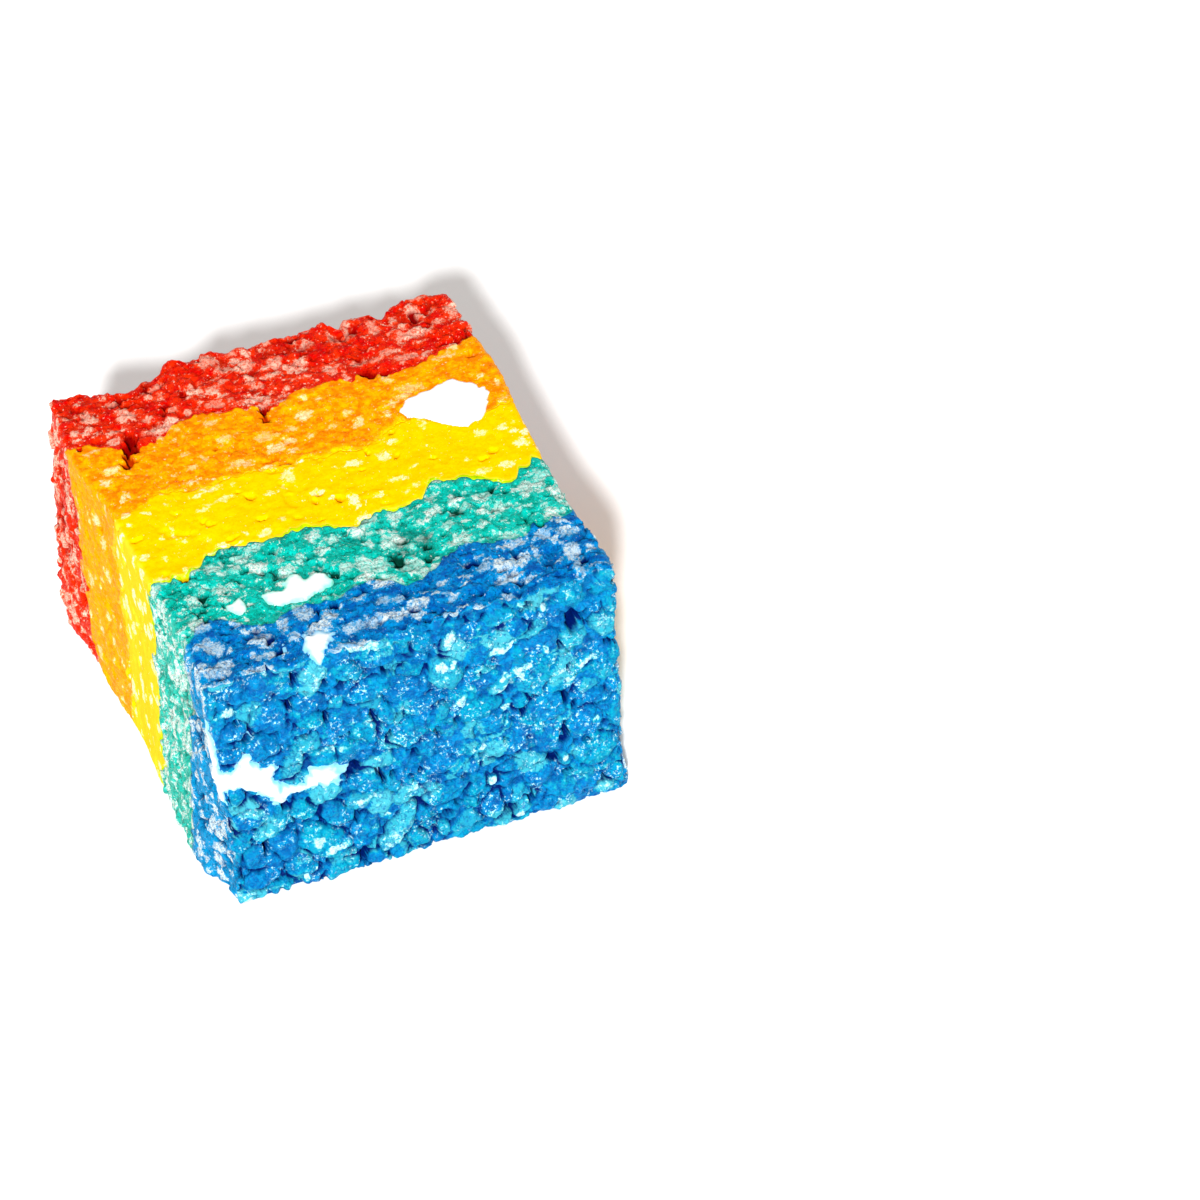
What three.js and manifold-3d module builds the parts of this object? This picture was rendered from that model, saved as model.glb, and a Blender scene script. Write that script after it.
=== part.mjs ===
// A puffed-rice treat: five coloured layers pressed together with melted marshmallow and cut into
// a block. The layers are stacked along +Y, from blue at the front to red at the back. The top and
// both sides are cut faces. The front and back are the pressed faces of the slab, where whole
// grains stand out. Millimetres, +Z up, the origin at the middle of the block's foot.

import * as THREE from 'three';
import { mergeVertices } from 'three/addons/utils/BufferGeometryUtils.js';
import Module from 'manifold-3d';

const WIDTH = 52;
const DEPTH = 60;
const HEIGHT = 35.5;
const GAP = 0.3;

// A puffed grain, and how far it stands out of a pressed face.
const GRAIN_LENGTH = 6.4;
const GRAIN_WIDTH = 4.0;
const GRAIN_DEPTH = 3.6;
const GRAIN_STANDS_OUT = 1.5;
const BED_SETBACK = 0.9;
const GRAIN_SPACING = 5.6;
const GRAIN_ROW_SPACING = 4.3;
const GRAIN_SIDES = 5;
const GRAIN_RINGS = 3;

// Unevenness of the cut faces, and the small holes in them.
const CUT_RELIEF = 0.4;
const PIT_LENGTH = 3.2;
const PIT_WIDTH = 1.8;
const PIT_DEPTH = 1.6;
const PITS_PER_LAYER = 5;
const SIDE_PIT_SIZE = 0.8;

const MARSHMALLOW_COLOR = 0xfbfcfa;
const SMEAR_DEPTH = 2.4;
const SMEAR_STANDS_OUT = 0.6;

// How far a cutting solid reaches past the faces that it cuts.
const CUT_REACH = 4;

// The layers from front to back, each with the line where it ends on the top face.
// The line is given as pairs of x and y, read from the front left corner of the block.
const LAYERS = [
  {
    name: 'layer_blue',
    color: 0x0a86d6,
    ends: [
      [0, 9.2], [4, 11.2], [12, 8.9], [18, 9.3], [24, 10.7],
      [28.6, 8], [35.6, 11.6], [44, 10.9], [52, 12.2],
    ],
  },
  {
    name: 'layer_green',
    color: 0x1fb8a2,
    ends: [
      [0, 21.3], [4.5, 20.8], [8, 22.7], [19, 22.6], [25, 21.5],
      [36, 22.6], [38.6, 24.1], [45.7, 20.8], [52, 23.4],
    ],
  },
  {
    name: 'layer_yellow',
    color: 0xffe000,
    ends: [
      [0, 34.6], [5.5, 36.5], [11, 35.6], [24.4, 35.8],
      [33, 34.5], [37.8, 37.5], [45.5, 34], [52, 35.6],
    ],
  },
  {
    name: 'layer_orange',
    color: 0xffa400,
    ends: [
      [0, 49.6], [4, 49.4], [7.2, 46.8], [17, 49.2],
      [24, 47.2], [28, 48.8], [44.7, 47.4], [52, 49.2],
    ],
  },
  { name: 'layer_red', color: 0xe8290f, ends: null },
];

// The cut left side is not square: x along it at the top edge and at the foot, as pairs of y and x.
const LEFT_TOP = [[0, -0.3], [9.5, 0.5], [22, -0.2], [35.5, -0.6], [48.8, -2.1], [60, -0.5]];
const LEFT_FOOT = [[0, 0.6], [9.5, -1.9], [22, -1.6], [35.5, -1.6], [48.8, -2.6], [60, -3.2]];
const RIGHT_TOP = [[0, 52.4], [8.5, 52.7], [12, 52], [22, 52], [33, 52.5], [42, 53.1], [60, 52.3]];
const RIGHT_FOOT = [[0, 52], [22, 52.6], [42, 53], [60, 52.4]];

// The back edge seen from above, with its two notches, as pairs of x and y.
const BACK_EDGE = [
  [0, 60.2], [6, 60], [9.5, 58.2], [13, 59.6], [19, 61.2],
  [32, 61.2], [37, 58.8], [42.5, 58.6], [46, 60.4], [52, 60.2],
];
const FRONT_LEAN = 0.9;

// Marshmallow lumps cut through at the top face, as outlines in x and y.
const LUMPS = [
  {
    name: 'marshmallow_large',
    depth: 5,
    outline: [
      [38.5, 39.6], [41.9, 41], [46.2, 41.7], [49.3, 39.1], [49.3, 37.6],
      [47.6, 34.2], [45.3, 32.8], [42.4, 35.2], [39.2, 37.5],
    ],
  },
  {
    name: 'marshmallow_middle',
    depth: 4,
    outline: [
      [11.4, 12.9], [14.3, 13.3], [15.5, 15.2], [17.2, 15.3], [19.4, 14.5],
      [20.3, 12.9], [19, 11.4], [16.1, 10.3], [12.4, 10.5],
    ],
  },
  {
    name: 'marshmallow_small',
    depth: 3,
    outline: [[6.5, 12.6], [8.2, 13.6], [9.3, 12.4], [8.6, 11], [7.4, 11]],
  },
  {
    name: 'marshmallow_edge',
    depth: 1.8,
    outline: [
      [13.8, 4.2], [15.2, 3.4], [17.1, 3.2], [16.4, 1.4],
      [15.4, -0.5], [13.6, -0.5], [13.3, 1.2],
    ],
  },
];

// Melted marshmallow smeared over the left end of the front face, as an outline in x and z.
const SMEAR_OUTLINE = [
  [-3, 28], [-0.7, 27.6], [0.1, 23.4], [2.9, 21.8], [4.6, 22], [7.2, 20], [9.2, 18], [15.6, 16.9],
  [15.2, 15.4], [11, 15], [8, 14.3], [6, 15], [3.8, 17.2], [1, 18.2], [-0.2, 16.6], [-3, 16.2],
];

const wasm = await Module();
wasm.setup();

// Repeatable random numbers between 0 and 1.
function randomFrom(seed) {
  let state = seed;
  return () => {
    state = (state + 0x6d2b79f5) | 0;
    let mixed = Math.imul(state ^ (state >>> 15), 1 | state);
    mixed = (mixed + Math.imul(mixed ^ (mixed >>> 7), 61 | mixed)) ^ mixed;
    return ((mixed ^ (mixed >>> 14)) >>> 0) / 4294967296;
  };
}

// The value at a place along a line of pairs, easing from each pair to the next.
function along(pairs, place) {
  if (place <= pairs[0][0]) {
    return pairs[0][1];
  }
  for (let i = 1; i < pairs.length; i += 1) {
    const [from, low] = pairs[i - 1];
    const [to, high] = pairs[i];
    if (place <= to) {
      return THREE.MathUtils.lerp(low, high, THREE.MathUtils.smoothstep(place, from, to));
    }
  }
  return pairs[pairs.length - 1][1];
}

function sideX(topLine, footLine, y, z) {
  const rise = THREE.MathUtils.smoothstep(z, 0, HEIGHT);
  return THREE.MathUtils.lerp(along(footLine, y), along(topLine, y), rise);
}

// Where a layer ends: the line seen on the top fades into a slow wave further down.
function layerEnd(line, x, z) {
  const nearTop = THREE.MathUtils.smoothstep(z, HEIGHT - 12, HEIGHT - 2);
  const mean = line.reduce((sum, pair) => sum + pair[1], 0) / line.length;
  const wave = 0.7 * Math.sin(x * 0.31 + mean) + 0.6 * Math.sin(z * 0.62 + mean * 2);
  return THREE.MathUtils.lerp(mean + wave, along(line, x), nearTop);
}

function frontY(x, z) {
  const lean = FRONT_LEAN * (1 - z / HEIGHT);
  return BED_SETBACK - lean + 0.35 * Math.sin(x * 0.42 + z * 0.21);
}

function backY(x, z) {
  const wave = 0.4 * Math.sin(x * 0.37 - z * 0.33);
  const notch = THREE.MathUtils.lerp(DEPTH, along(BACK_EDGE, x), THREE.MathUtils.smoothstep(z, 8, HEIGHT));
  return notch + wave - BED_SETBACK;
}

function solidFrom(geometry) {
  const bare = geometry.clone();
  bare.deleteAttribute('normal');
  bare.deleteAttribute('uv');
  const merged = mergeVertices(bare, 1e-4);
  const vertProperties = new Float32Array(merged.getAttribute('position').array);
  const triVerts = new Uint32Array(merged.index.array);
  return new wasm.Manifold(new wasm.Mesh({ numProp: 3, vertProperties, triVerts }));
}

// A box of small cells whose points are moved by place(u, v, w), each running from 0 to 1.
function shapedBox(cellsX, cellsY, cellsZ, place) {
  const box = new THREE.BoxGeometry(1, 1, 1, cellsX, cellsY, cellsZ);
  box.deleteAttribute('normal');
  box.deleteAttribute('uv');
  const shaped = mergeVertices(box, 1e-4);
  const position = shaped.getAttribute('position');
  for (let i = 0; i < position.count; i += 1) {
    const u = position.getX(i) + 0.5;
    const v = position.getY(i) + 0.5;
    const w = position.getZ(i) + 0.5;
    position.setXYZ(i, ...place(u, v, w));
  }
  return solidFrom(shaped);
}

// The space inside the knife cuts: uneven top and sides, a flat foot, open past both pressed faces.
function cutSpace() {
  const random = randomFrom(11);
  return shapedBox(16, 22, 10, (u, v, w) => {
    const y = THREE.MathUtils.lerp(-CUT_REACH, DEPTH + CUT_REACH, v);
    const roughness = (random() - 0.5) * 2 * CUT_RELIEF;
    let z = w * HEIGHT;
    const left = sideX(LEFT_TOP, LEFT_FOOT, y, z);
    const right = sideX(RIGHT_TOP, RIGHT_FOOT, y, z);
    let x = THREE.MathUtils.lerp(left, right, u);
    if (w === 1) {
      z += roughness;
    }
    if (u === 0 || u === 1) {
      x += roughness;
    }
    return [x, y, z];
  });
}

// The bed of syrup and rice between the pressed faces, wider than the cuts.
function bed() {
  return shapedBox(9, 1, 6, (u, v, w) => {
    const x = THREE.MathUtils.lerp(-CUT_REACH * 2, WIDTH + CUT_REACH * 2, u);
    const z = THREE.MathUtils.lerp(-CUT_REACH, HEIGHT + CUT_REACH, w);
    return [x, v === 0 ? frontY(x, z) : backY(x, z), z];
  });
}

// One puffed grain of few sides: its long axis lies along X before it is turned.
function grain(length, width, depth, turn, place) {
  const shape = new THREE.SphereGeometry(0.5, GRAIN_SIDES, GRAIN_RINGS);
  shape.rotateZ(Math.PI / 2);
  shape.scale(length, depth, width);
  shape.rotateY(turn);
  shape.translate(...place);
  return solidFrom(shape);
}

// Rows of grains pressed into a face, each turned and sunk a little differently.
function grainRows(seed, faceY, outward) {
  const random = randomFrom(seed);
  const grains = [];
  const rows = Math.ceil(HEIGHT / GRAIN_ROW_SPACING);
  const perRow = Math.ceil(WIDTH / GRAIN_SPACING) + 1;
  for (let row = 0; row <= rows; row += 1) {
    for (let place = 0; place < perRow; place += 1) {
      const x = (place + (row % 2) / 2 + (random() - 0.5) * 0.4) * GRAIN_SPACING - 1;
      const z = (row + (random() - 0.5) * 0.5) * GRAIN_ROW_SPACING;
      const size = 0.82 + 0.3 * random();
      const turn = (random() - 0.5) * Math.PI * (random() < 0.3 ? 1 : 0.5);
      const sunk = GRAIN_DEPTH * size * 0.5 - GRAIN_STANDS_OUT * (0.65 + 0.5 * random());
      const y = faceY(x, z) - outward * sunk;
      grains.push(grain(GRAIN_LENGTH * size, GRAIN_WIDTH * size, GRAIN_DEPTH * size, turn, [x, y, z]));
    }
  }
  return grains;
}

// All that lies in front of the line where a layer ends, moved along Y by a small distance.
function spaceBefore(line, moved) {
  return shapedBox(15, 1, 5, (u, v, w) => {
    const x = THREE.MathUtils.lerp(-CUT_REACH * 1.5, WIDTH + CUT_REACH * 1.5, u);
    const z = THREE.MathUtils.lerp(-CUT_REACH / 2, HEIGHT + CUT_REACH / 2, w);
    return [x, v === 0 ? -CUT_REACH * 2 : layerEnd(line, x, z) + moved, z];
  });
}

// An outline moved outwards by a distance, with each corner kept sharp.
function grown(outline, distance) {
  const area = THREE.ShapeUtils.area(outline.map(([a, b]) => new THREE.Vector2(a, b)));
  const outwards = Math.sign(area) * distance;
  return outline.map((point, i) => {
    const here = new THREE.Vector2(...point);
    const before = new THREE.Vector2(...outline.at(i - 1));
    const after = new THREE.Vector2(...outline[(i + 1) % outline.length]);
    const arriving = here.clone().sub(before).normalize();
    const leaving = after.sub(here).normalize();
    const normal = new THREE.Vector2(arriving.y + leaving.y, -arriving.x - leaving.x).normalize();
    const stretch = Math.max(0.5, normal.dot(new THREE.Vector2(leaving.y, -leaving.x)));
    return [here.x + (normal.x * outwards) / stretch, here.y + (normal.y * outwards) / stretch];
  });
}

function extruded(outline, depth) {
  const shape = new THREE.Shape(outline.map(([a, b]) => new THREE.Vector2(a, b)));
  return new THREE.ExtrudeGeometry(shape, { depth, bevelEnabled: false });
}

function lumpSolid(outline, depth) {
  const geometry = extruded(outline, depth + CUT_REACH);
  geometry.translate(0, 0, HEIGHT - depth);
  return solidFrom(geometry);
}

function smearSolid(outline, front, back) {
  const geometry = extruded(outline, back - front);
  geometry.rotateX(Math.PI / 2);
  geometry.translate(0, back, 0);
  return solidFrom(geometry);
}

// Holes left between grains: two named ones behind the orange layer, the rest spread by a rule.
function pits() {
  const random = randomFrom(29);
  const places = [[7, 46.6, HEIGHT, 1.3], [23.4, 46.8, HEIGHT, 1]];
  const thickness = DEPTH / LAYERS.length;
  LAYERS.forEach((layer, index) => {
    for (let count = 0; count < PITS_PER_LAYER; count += 1) {
      const y = (index + 0.2 + 0.6 * random()) * thickness;
      const x = WIDTH * (count + 0.2 + 0.6 * random()) / PITS_PER_LAYER;
      places.push([x, y, HEIGHT, 0.6 + 0.4 * random()]);
      const z = HEIGHT * (count + 0.2 + 0.6 * random()) / PITS_PER_LAYER;
      const [topLine, footLine] = count % 2 ? [LEFT_TOP, LEFT_FOOT] : [RIGHT_TOP, RIGHT_FOOT];
      places.push([sideX(topLine, footLine, y, z), y, z, SIDE_PIT_SIZE]);
    }
  });
  return places.map(([x, y, z, size]) => {
    const onTop = z === HEIGHT;
    const shape = new THREE.SphereGeometry(0.5, GRAIN_SIDES, GRAIN_RINGS);
    shape.scale(PIT_LENGTH * size, PIT_WIDTH * size, PIT_DEPTH * 2 * size);
    if (!onTop) {
      shape.rotateY(Math.PI / 2);
    }
    shape.translate(x, y, z);
    return solidFrom(shape);
  });
}

// The largest closed shell of a solid: loose scraps go and sealed hollows fill.
function wholePiece(solid) {
  const shells = solid.decompose();
  return shells.reduce((best, shell) => (shell.volume() > best.volume() ? shell : best));
}

function meshFrom(name, solid, color, roughness) {
  const { vertProperties, triVerts } = wholePiece(solid).getMesh();
  const geometry = new THREE.BufferGeometry();
  geometry.setAttribute('position', new THREE.BufferAttribute(new Float32Array(vertProperties), 3));
  geometry.setIndex(new THREE.BufferAttribute(new Uint32Array(triVerts), 1));
  geometry.computeVertexNormals();
  const mesh = new THREE.Mesh(geometry, new THREE.MeshStandardMaterial({ color, roughness, metalness: 0 }));
  mesh.name = name;
  return mesh;
}

const cuts = cutSpace();
const frontGrains = grainRows(3, frontY, -1);
const backGrains = grainRows(7, backY, 1);
const pockets = LUMPS.map(({ outline, depth }) => lumpSolid(grown(outline, GAP), depth + GAP));
pockets.push(smearSolid(grown(SMEAR_OUTLINE, GAP), -CUT_REACH, SMEAR_DEPTH + GAP));
const holes = wasm.Manifold.union([...pits(), ...pockets]);
const block = wasm.Manifold.union([bed(), ...frontGrains, ...backGrains]).intersect(cuts);

const treat = new THREE.Group();
LAYERS.forEach((layer, index) => {
  let solid = block.subtract(holes);
  if (index > 0) {
    solid = solid.subtract(spaceBefore(LAYERS[index - 1].ends, GAP / 2));
  }
  if (layer.ends) {
    solid = solid.intersect(spaceBefore(layer.ends, -GAP / 2));
  }
  treat.add(meshFrom(layer.name, solid, layer.color, 0.45));
});
LUMPS.forEach(({ name, outline, depth }) => {
  treat.add(meshFrom(name, lumpSolid(outline, depth).intersect(cuts), MARSHMALLOW_COLOR, 0.8));
});
const smear = smearSolid(SMEAR_OUTLINE, -SMEAR_STANDS_OUT, SMEAR_DEPTH);
treat.add(meshFrom('marshmallow_smear', smear.intersect(cuts), MARSHMALLOW_COLOR, 0.7));

// The origin goes to the middle of the foot.
const extent = new THREE.Box3().setFromObject(treat);
const middle = extent.getCenter(new THREE.Vector3());
treat.position.set(-middle.x, -middle.y, -extent.min.z);

export default treat;
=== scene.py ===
"""A cut block of puffed-rice treat in five coloured layers, with white marshmallow in its cut top."""

import math

import bmesh
import bpy
import numpy as np
from mathutils import Matrix, Vector


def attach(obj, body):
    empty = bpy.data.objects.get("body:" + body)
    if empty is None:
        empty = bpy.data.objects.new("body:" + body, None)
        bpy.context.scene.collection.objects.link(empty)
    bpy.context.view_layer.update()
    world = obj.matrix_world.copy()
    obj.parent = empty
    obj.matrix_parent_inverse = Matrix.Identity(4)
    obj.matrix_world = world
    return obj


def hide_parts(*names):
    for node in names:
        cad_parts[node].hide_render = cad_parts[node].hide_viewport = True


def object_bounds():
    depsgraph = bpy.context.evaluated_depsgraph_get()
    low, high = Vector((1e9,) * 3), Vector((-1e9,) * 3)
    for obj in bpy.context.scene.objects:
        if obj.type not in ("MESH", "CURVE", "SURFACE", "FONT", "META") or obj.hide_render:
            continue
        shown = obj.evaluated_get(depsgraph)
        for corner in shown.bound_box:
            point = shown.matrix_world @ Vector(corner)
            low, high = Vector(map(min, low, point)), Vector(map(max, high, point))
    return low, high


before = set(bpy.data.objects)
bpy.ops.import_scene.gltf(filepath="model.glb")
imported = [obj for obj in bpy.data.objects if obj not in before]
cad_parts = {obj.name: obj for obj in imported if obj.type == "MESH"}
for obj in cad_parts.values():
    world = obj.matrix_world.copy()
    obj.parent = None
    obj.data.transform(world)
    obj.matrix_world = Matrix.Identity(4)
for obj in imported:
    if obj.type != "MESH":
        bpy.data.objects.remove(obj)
cad_low, cad_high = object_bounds()

# Camera
# The block is seen from the front and a little from its left, 41 degrees down, from two thirds of
# a metre away through a long lens, with a slight roll.
MM = 0.001
CAMERA_PLACE = (-105.73, -475.34, 470.97)
CAMERA_TURN = -18.163
CAMERA_DOWN = 41.31
CAMERA_ROLL = -4.27
LENS = 164.78
SENSOR = 36

# Places are in mm from the bottom corner at the front left. The cut side and the grains of the front
# reach this much further out than that corner.
LEFT_BULGE = 3.43
FRONT_BULGE = 1.58
corner = Vector((cad_low.x / MM + LEFT_BULGE, cad_low.y / MM + FRONT_BULGE, 0))

camera_data = bpy.data.cameras.new("camera")
camera_data.sensor_width = SENSOR
camera_data.lens = LENS
camera = bpy.data.objects.new("camera", camera_data)
bpy.context.scene.collection.objects.link(camera)
camera_turn = Matrix.Rotation(math.radians(CAMERA_TURN), 3, "Z")
camera_pitch = Matrix.Rotation(math.radians(90 - CAMERA_DOWN), 3, "X")
camera_roll = Matrix.Rotation(math.radians(CAMERA_ROLL), 3, "Z")
camera.location = (corner + Vector(CAMERA_PLACE)) * MM
camera.rotation_euler = (camera_turn @ camera_pitch @ camera_roll).to_euler()
bpy.context.scene.camera = camera

# Blue layer
# The front layer of the pressed slab: puffed grains stuck together with blue marshmallow syrup.
# Its front was pressed against the tin, so flattened glossy grains stand in it, and the knife
# has cut its top and sides flat, through grains and syrup alike.
WIDTH = 52.0
DEPTH = 60.0
HEIGHT = 35.5
BLUE_BACK = 10.2
EDGE_RADIUS = 0.8
CELL = 0.2


def along(pairs, place):
    """The value at each place along a line of pairs, easing from each pair to the next."""
    places = np.array([pair[0] for pair in pairs], float)
    values = np.array([pair[1] for pair in pairs], float)
    index = np.clip(np.searchsorted(places, place, side="right") - 1, 0, len(places) - 2)
    share = np.clip((place - places[index]) / (places[index + 1] - places[index]), 0, 1)
    share = share * share * (3 - 2 * share)
    return values[index] * (1 - share) + values[index + 1] * share


def rising(value, low, high):
    """0 below low, 1 above high, and a smooth rise between them."""
    share = np.clip((value - low) / (high - low), 0, 1)
    return share * share * (3 - 2 * share)


def scatter(cells, seed):
    """A repeatable random number from 0 to 1 for each row of three whole numbers."""
    # The large primes and the shifts only mix the bits of the three numbers and the seed.
    cells = cells.astype(np.int64)
    mixed = cells[..., 0] * 73856093 ^ cells[..., 1] * 19349663 ^ cells[..., 2] * 83492791
    mixed = (mixed + seed * 2654435761) & 0xFFFFFFFF
    mixed = ((mixed ^ (mixed >> 15)) * 2246822519) & 0xFFFFFFFF
    mixed = ((mixed ^ (mixed >> 13)) * 3266489917) & 0xFFFFFFFF
    return (mixed ^ (mixed >> 16)) / 4294967295.0


def redraw(number, seed):
    """Another random number from 0 to 1 for each grain, from the grain's own number."""
    return scatter(np.stack([number * 65536] * 3, axis=1), seed)


def cloud(points, size, seed):
    """Smooth random values from -1 to 1 that change over a distance of the given size."""
    scaled = points / size
    base = np.floor(scaled)
    part = scaled - base
    part = part * part * (3 - 2 * part)
    total = np.zeros(len(points))
    for corner_index in range(8):
        step = np.array([corner_index & 1, corner_index >> 1 & 1, corner_index >> 2 & 1])
        weight = np.prod(np.where(step, part, 1 - part), axis=1)
        total += weight * scatter(base + step, seed)
    return total * 2 - 1


def stirred(points, reach, size, seed):
    """The points pushed about by smooth random amounts, which makes round shapes uneven."""
    push = [cloud(points, size, seed + axis) for axis in range(3)]
    return points + reach * np.stack(push, axis=1)


def grain_bed(cell_x, cell_z, rows, first, long, wide, thick, seed):
    """Puffed grains that lie flat in the layers, one in each cell of a grid that fills the block.
    The first row is at y = first, and long, wide and thick are the ranges of their half sizes."""
    off_middle = (0.55, 0.35, 0.55)
    most_tip = 0.5
    random = np.random.default_rng(seed)
    cell = np.array([cell_x, (DEPTH - 2 * first) / (rows - 1), cell_z])
    start = np.array([-1.5 * cell_x, first, -1.5 * cell_z])
    size = (math.ceil(WIDTH / cell_x) + 4, rows, math.ceil(HEIGHT / cell_z) + 4)
    grid = np.stack(np.meshgrid(*[np.arange(count) for count in size], indexing="ij"), axis=-1)
    centre = start + (grid + (random.random(grid.shape) - 0.5) * off_middle) * cell
    centre[..., 0] += (grid[..., 1] + grid[..., 2]) % 2 * cell_x / 2
    turn = random.random(size) * math.pi
    tip = (random.random(size) - 0.5) * most_tip
    long_axis = np.stack([np.cos(turn), tip, np.sin(turn)], axis=-1)
    long_axis /= np.linalg.norm(long_axis, axis=-1, keepdims=True)
    wide_axis = np.cross(long_axis, np.array([0.0, 1.0, 0.0]))
    wide_axis /= np.linalg.norm(wide_axis, axis=-1, keepdims=True)
    thin_axis = np.cross(long_axis, wide_axis)
    half = [low + (high - low) * random.random(size)[..., None] for low, high in (long, wide, thick)]
    axes = np.stack([long_axis / half[0], wide_axis / half[1], thin_axis / half[2]], axis=-2)
    return {"cell": cell, "start": start, "size": size, "centre": centre, "axes": axes,
            "number": random.random(size)}


# Whole grains stand in a pressed face, a cut shows slices of them, and crumbs lie between.
GRAINS = grain_bed(4.2, 3.5, 28, 0.65, (1.8, 3.0), (1.5, 2.0), (1.05, 1.4), 17)
SLICES = grain_bed(2.8, 2.4, 34, 0.5, (1.1, 1.8), (0.9, 1.3), (0.6, 0.95), 19)
CRUMBS = grain_bed(1.6, 1.4, 60, 0.25, (0.6, 1.0), (0.4, 0.65), (0.3, 0.5), 23)
# Further away, in mm, than any grain reaches.
FAR = 9.0


def neighbours(bed, points):
    """The grains round each point, as one set of grid cells after another."""
    # Every second column of grains stands half a cell further along x.
    near = np.floor((points - bed["start"]) / bed["cell"] + 0.5).astype(int)
    for step_y in (-1, 0, 1):
        cell_y = np.clip(near[:, 1] + step_y, 0, bed["size"][1] - 1)
        for step_z in (-1, 0, 1):
            cell_z = np.clip(near[:, 2] + step_z, 0, bed["size"][2] - 1)
            offset = (cell_y + cell_z) % 2 * bed["cell"][0] / 2
            middle = np.floor((points[:, 0] - bed["start"][0] - offset) / bed["cell"][0] + 0.5).astype(int)
            for step_x in (-1, 0, 1):
                yield np.clip(middle + step_x, 0, bed["size"][0] - 1), cell_y, cell_z


def nearest_grain(bed, points):
    """Distance in mm to the nearest grain's skin, negative inside it, and that grain's number."""
    best = np.full(len(points), FAR)
    number = np.zeros(len(points))
    for near in neighbours(bed, points):
        away = points - bed["centre"][near]
        reach = np.linalg.norm(np.einsum("nij,nj->ni", bed["axes"][near], away), axis=1) + 1e-6
        distance = np.linalg.norm(away, axis=1) * (1 - 1 / reach)
        closer = distance < best
        best = np.where(closer, distance, best)
        number = np.where(closer, bed["number"][near], number)
    return best, number


def grain_tops(bed, points, outward, wall, flat_top, flat_vary):
    """How far the grains stand out of a pressed wall, their tops pressed flat: the highest, its
    number, and how sharply it meets the next highest."""
    softness = 0.16
    best = np.full(len(points), -FAR)
    second = np.full(len(points), -FAR)
    number = np.zeros(len(points))
    probe = points.copy()
    probe[:, 1] = wall - outward * bed["cell"][1]
    for near in neighbours(bed, probe):
        away = points - bed["centre"][near]
        away[:, 1] = 0
        axes = bed["axes"][near]
        across = axes[:, :, 1]
        flat = np.einsum("nij,nj->ni", axes, away)
        # A line straight out through the point leaves the grain where this quadratic is zero.
        a = (across * across).sum(1)
        b = (across * flat).sum(1)
        inside = b * b - a * ((flat * flat).sum(1) - 1)
        hit = np.sqrt(np.maximum(inside, 0))
        out = outward * bed["centre"][near][:, 1] + (hit - outward * b) / a - outward * wall
        own = bed["number"][near]
        top = flat_top + flat_vary * (own - 0.5)
        out = top - softness * np.logaddexp(0, (top - out) / softness)
        out = np.where(inside > 0, out, -FAR)
        higher = out > best
        second = np.maximum(np.minimum(best, out), second)
        best = np.where(higher, out, best)
        number = np.where(higher, own, number)
    crease = (1 - rising(best - second, 0.0, 0.3)) * rising(second, -1.0, -0.4)
    return best, number, crease


def select_edges(axis):
    """Selects the edges of the mesh in edit mode that run along one axis, and nothing else."""
    bpy.ops.mesh.select_all(action="DESELECT")
    mesh = bmesh.from_edit_mesh(bpy.context.object.data)
    for edge in mesh.edges:
        run = edge.verts[1].co - edge.verts[0].co
        if abs(run[axis]) > 0.99 * run.length:
            edge.select_set(True)
    bmesh.update_edit_mesh(bpy.context.object.data)


def select_end(place, edges_only):
    """Selects the faces, or only the edges, that lie in the plane across the layers at y = place."""
    tolerance = 1e-7
    bpy.ops.mesh.select_all(action="DESELECT")
    mesh = bmesh.from_edit_mesh(bpy.context.object.data)
    for part in mesh.edges if edges_only else mesh.faces:
        if all(abs(vertex.co.y - place) < tolerance for vertex in part.verts):
            part.select_set(True)
    bmesh.update_edit_mesh(bpy.context.object.data)


def fine_block(name, low, high, open_front=False, open_back=False):
    """A box of small faces, CELL wide. An end that meets another layer is open, and is closed again
    with one large face, inset, because nobody sees it."""
    end_rim = 2
    bpy.ops.object.select_all(action="DESELECT")
    size = Vector(high) - Vector(low)
    middle = (Vector(high) + Vector(low)) / 2
    bpy.ops.mesh.primitive_cube_add(size=1, location=middle * MM, scale=size * MM)
    piece = bpy.context.object
    piece.name = name
    bpy.ops.object.transform_apply(location=True, rotation=True, scale=True)
    bpy.ops.object.shade_smooth()
    bpy.ops.object.mode_set(mode="EDIT")
    ends = [place * MM for place, is_open in ((low[1], open_front), (high[1], open_back)) if is_open]
    bpy.ops.mesh.select_mode(type="FACE")
    for end in ends:
        select_end(end, edges_only=False)
        bpy.ops.mesh.delete(type="ONLY_FACE")
    bpy.ops.mesh.select_mode(type="EDGE")
    # Each run of edges is cut into strips and these into cells, which is far quicker than at once.
    for axis in (0, 2, 1):
        cells = size[axis] / CELL
        strips = max(2, round(math.sqrt(cells)))
        select_edges(axis)
        bpy.ops.mesh.subdivide(number_cuts=strips - 1)
        select_edges(axis)
        bpy.ops.mesh.subdivide(number_cuts=round(cells / strips) - 1)
    for end in ends:
        select_end(end, edges_only=True)
        bpy.ops.mesh.edge_face_add()
        bpy.ops.mesh.inset(thickness=end_rim * MM)
    bpy.ops.mesh.select_mode(type="FACE")
    for end in ends:
        select_end(end, edges_only=False)
        bpy.ops.mesh.faces_shade_flat()
    bpy.ops.mesh.select_all(action="SELECT")
    bpy.ops.mesh.normals_make_consistent(inside=False)
    bpy.ops.object.mode_set(mode="OBJECT")
    return piece


def read_points(piece):
    """The piece's points in mm, in the block's own frame, as rows of x, y, z."""
    flat = np.empty(len(piece.data.vertices) * 3)
    piece.data.vertices.foreach_get("co", flat)
    return flat.reshape(-1, 3) / MM


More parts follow.
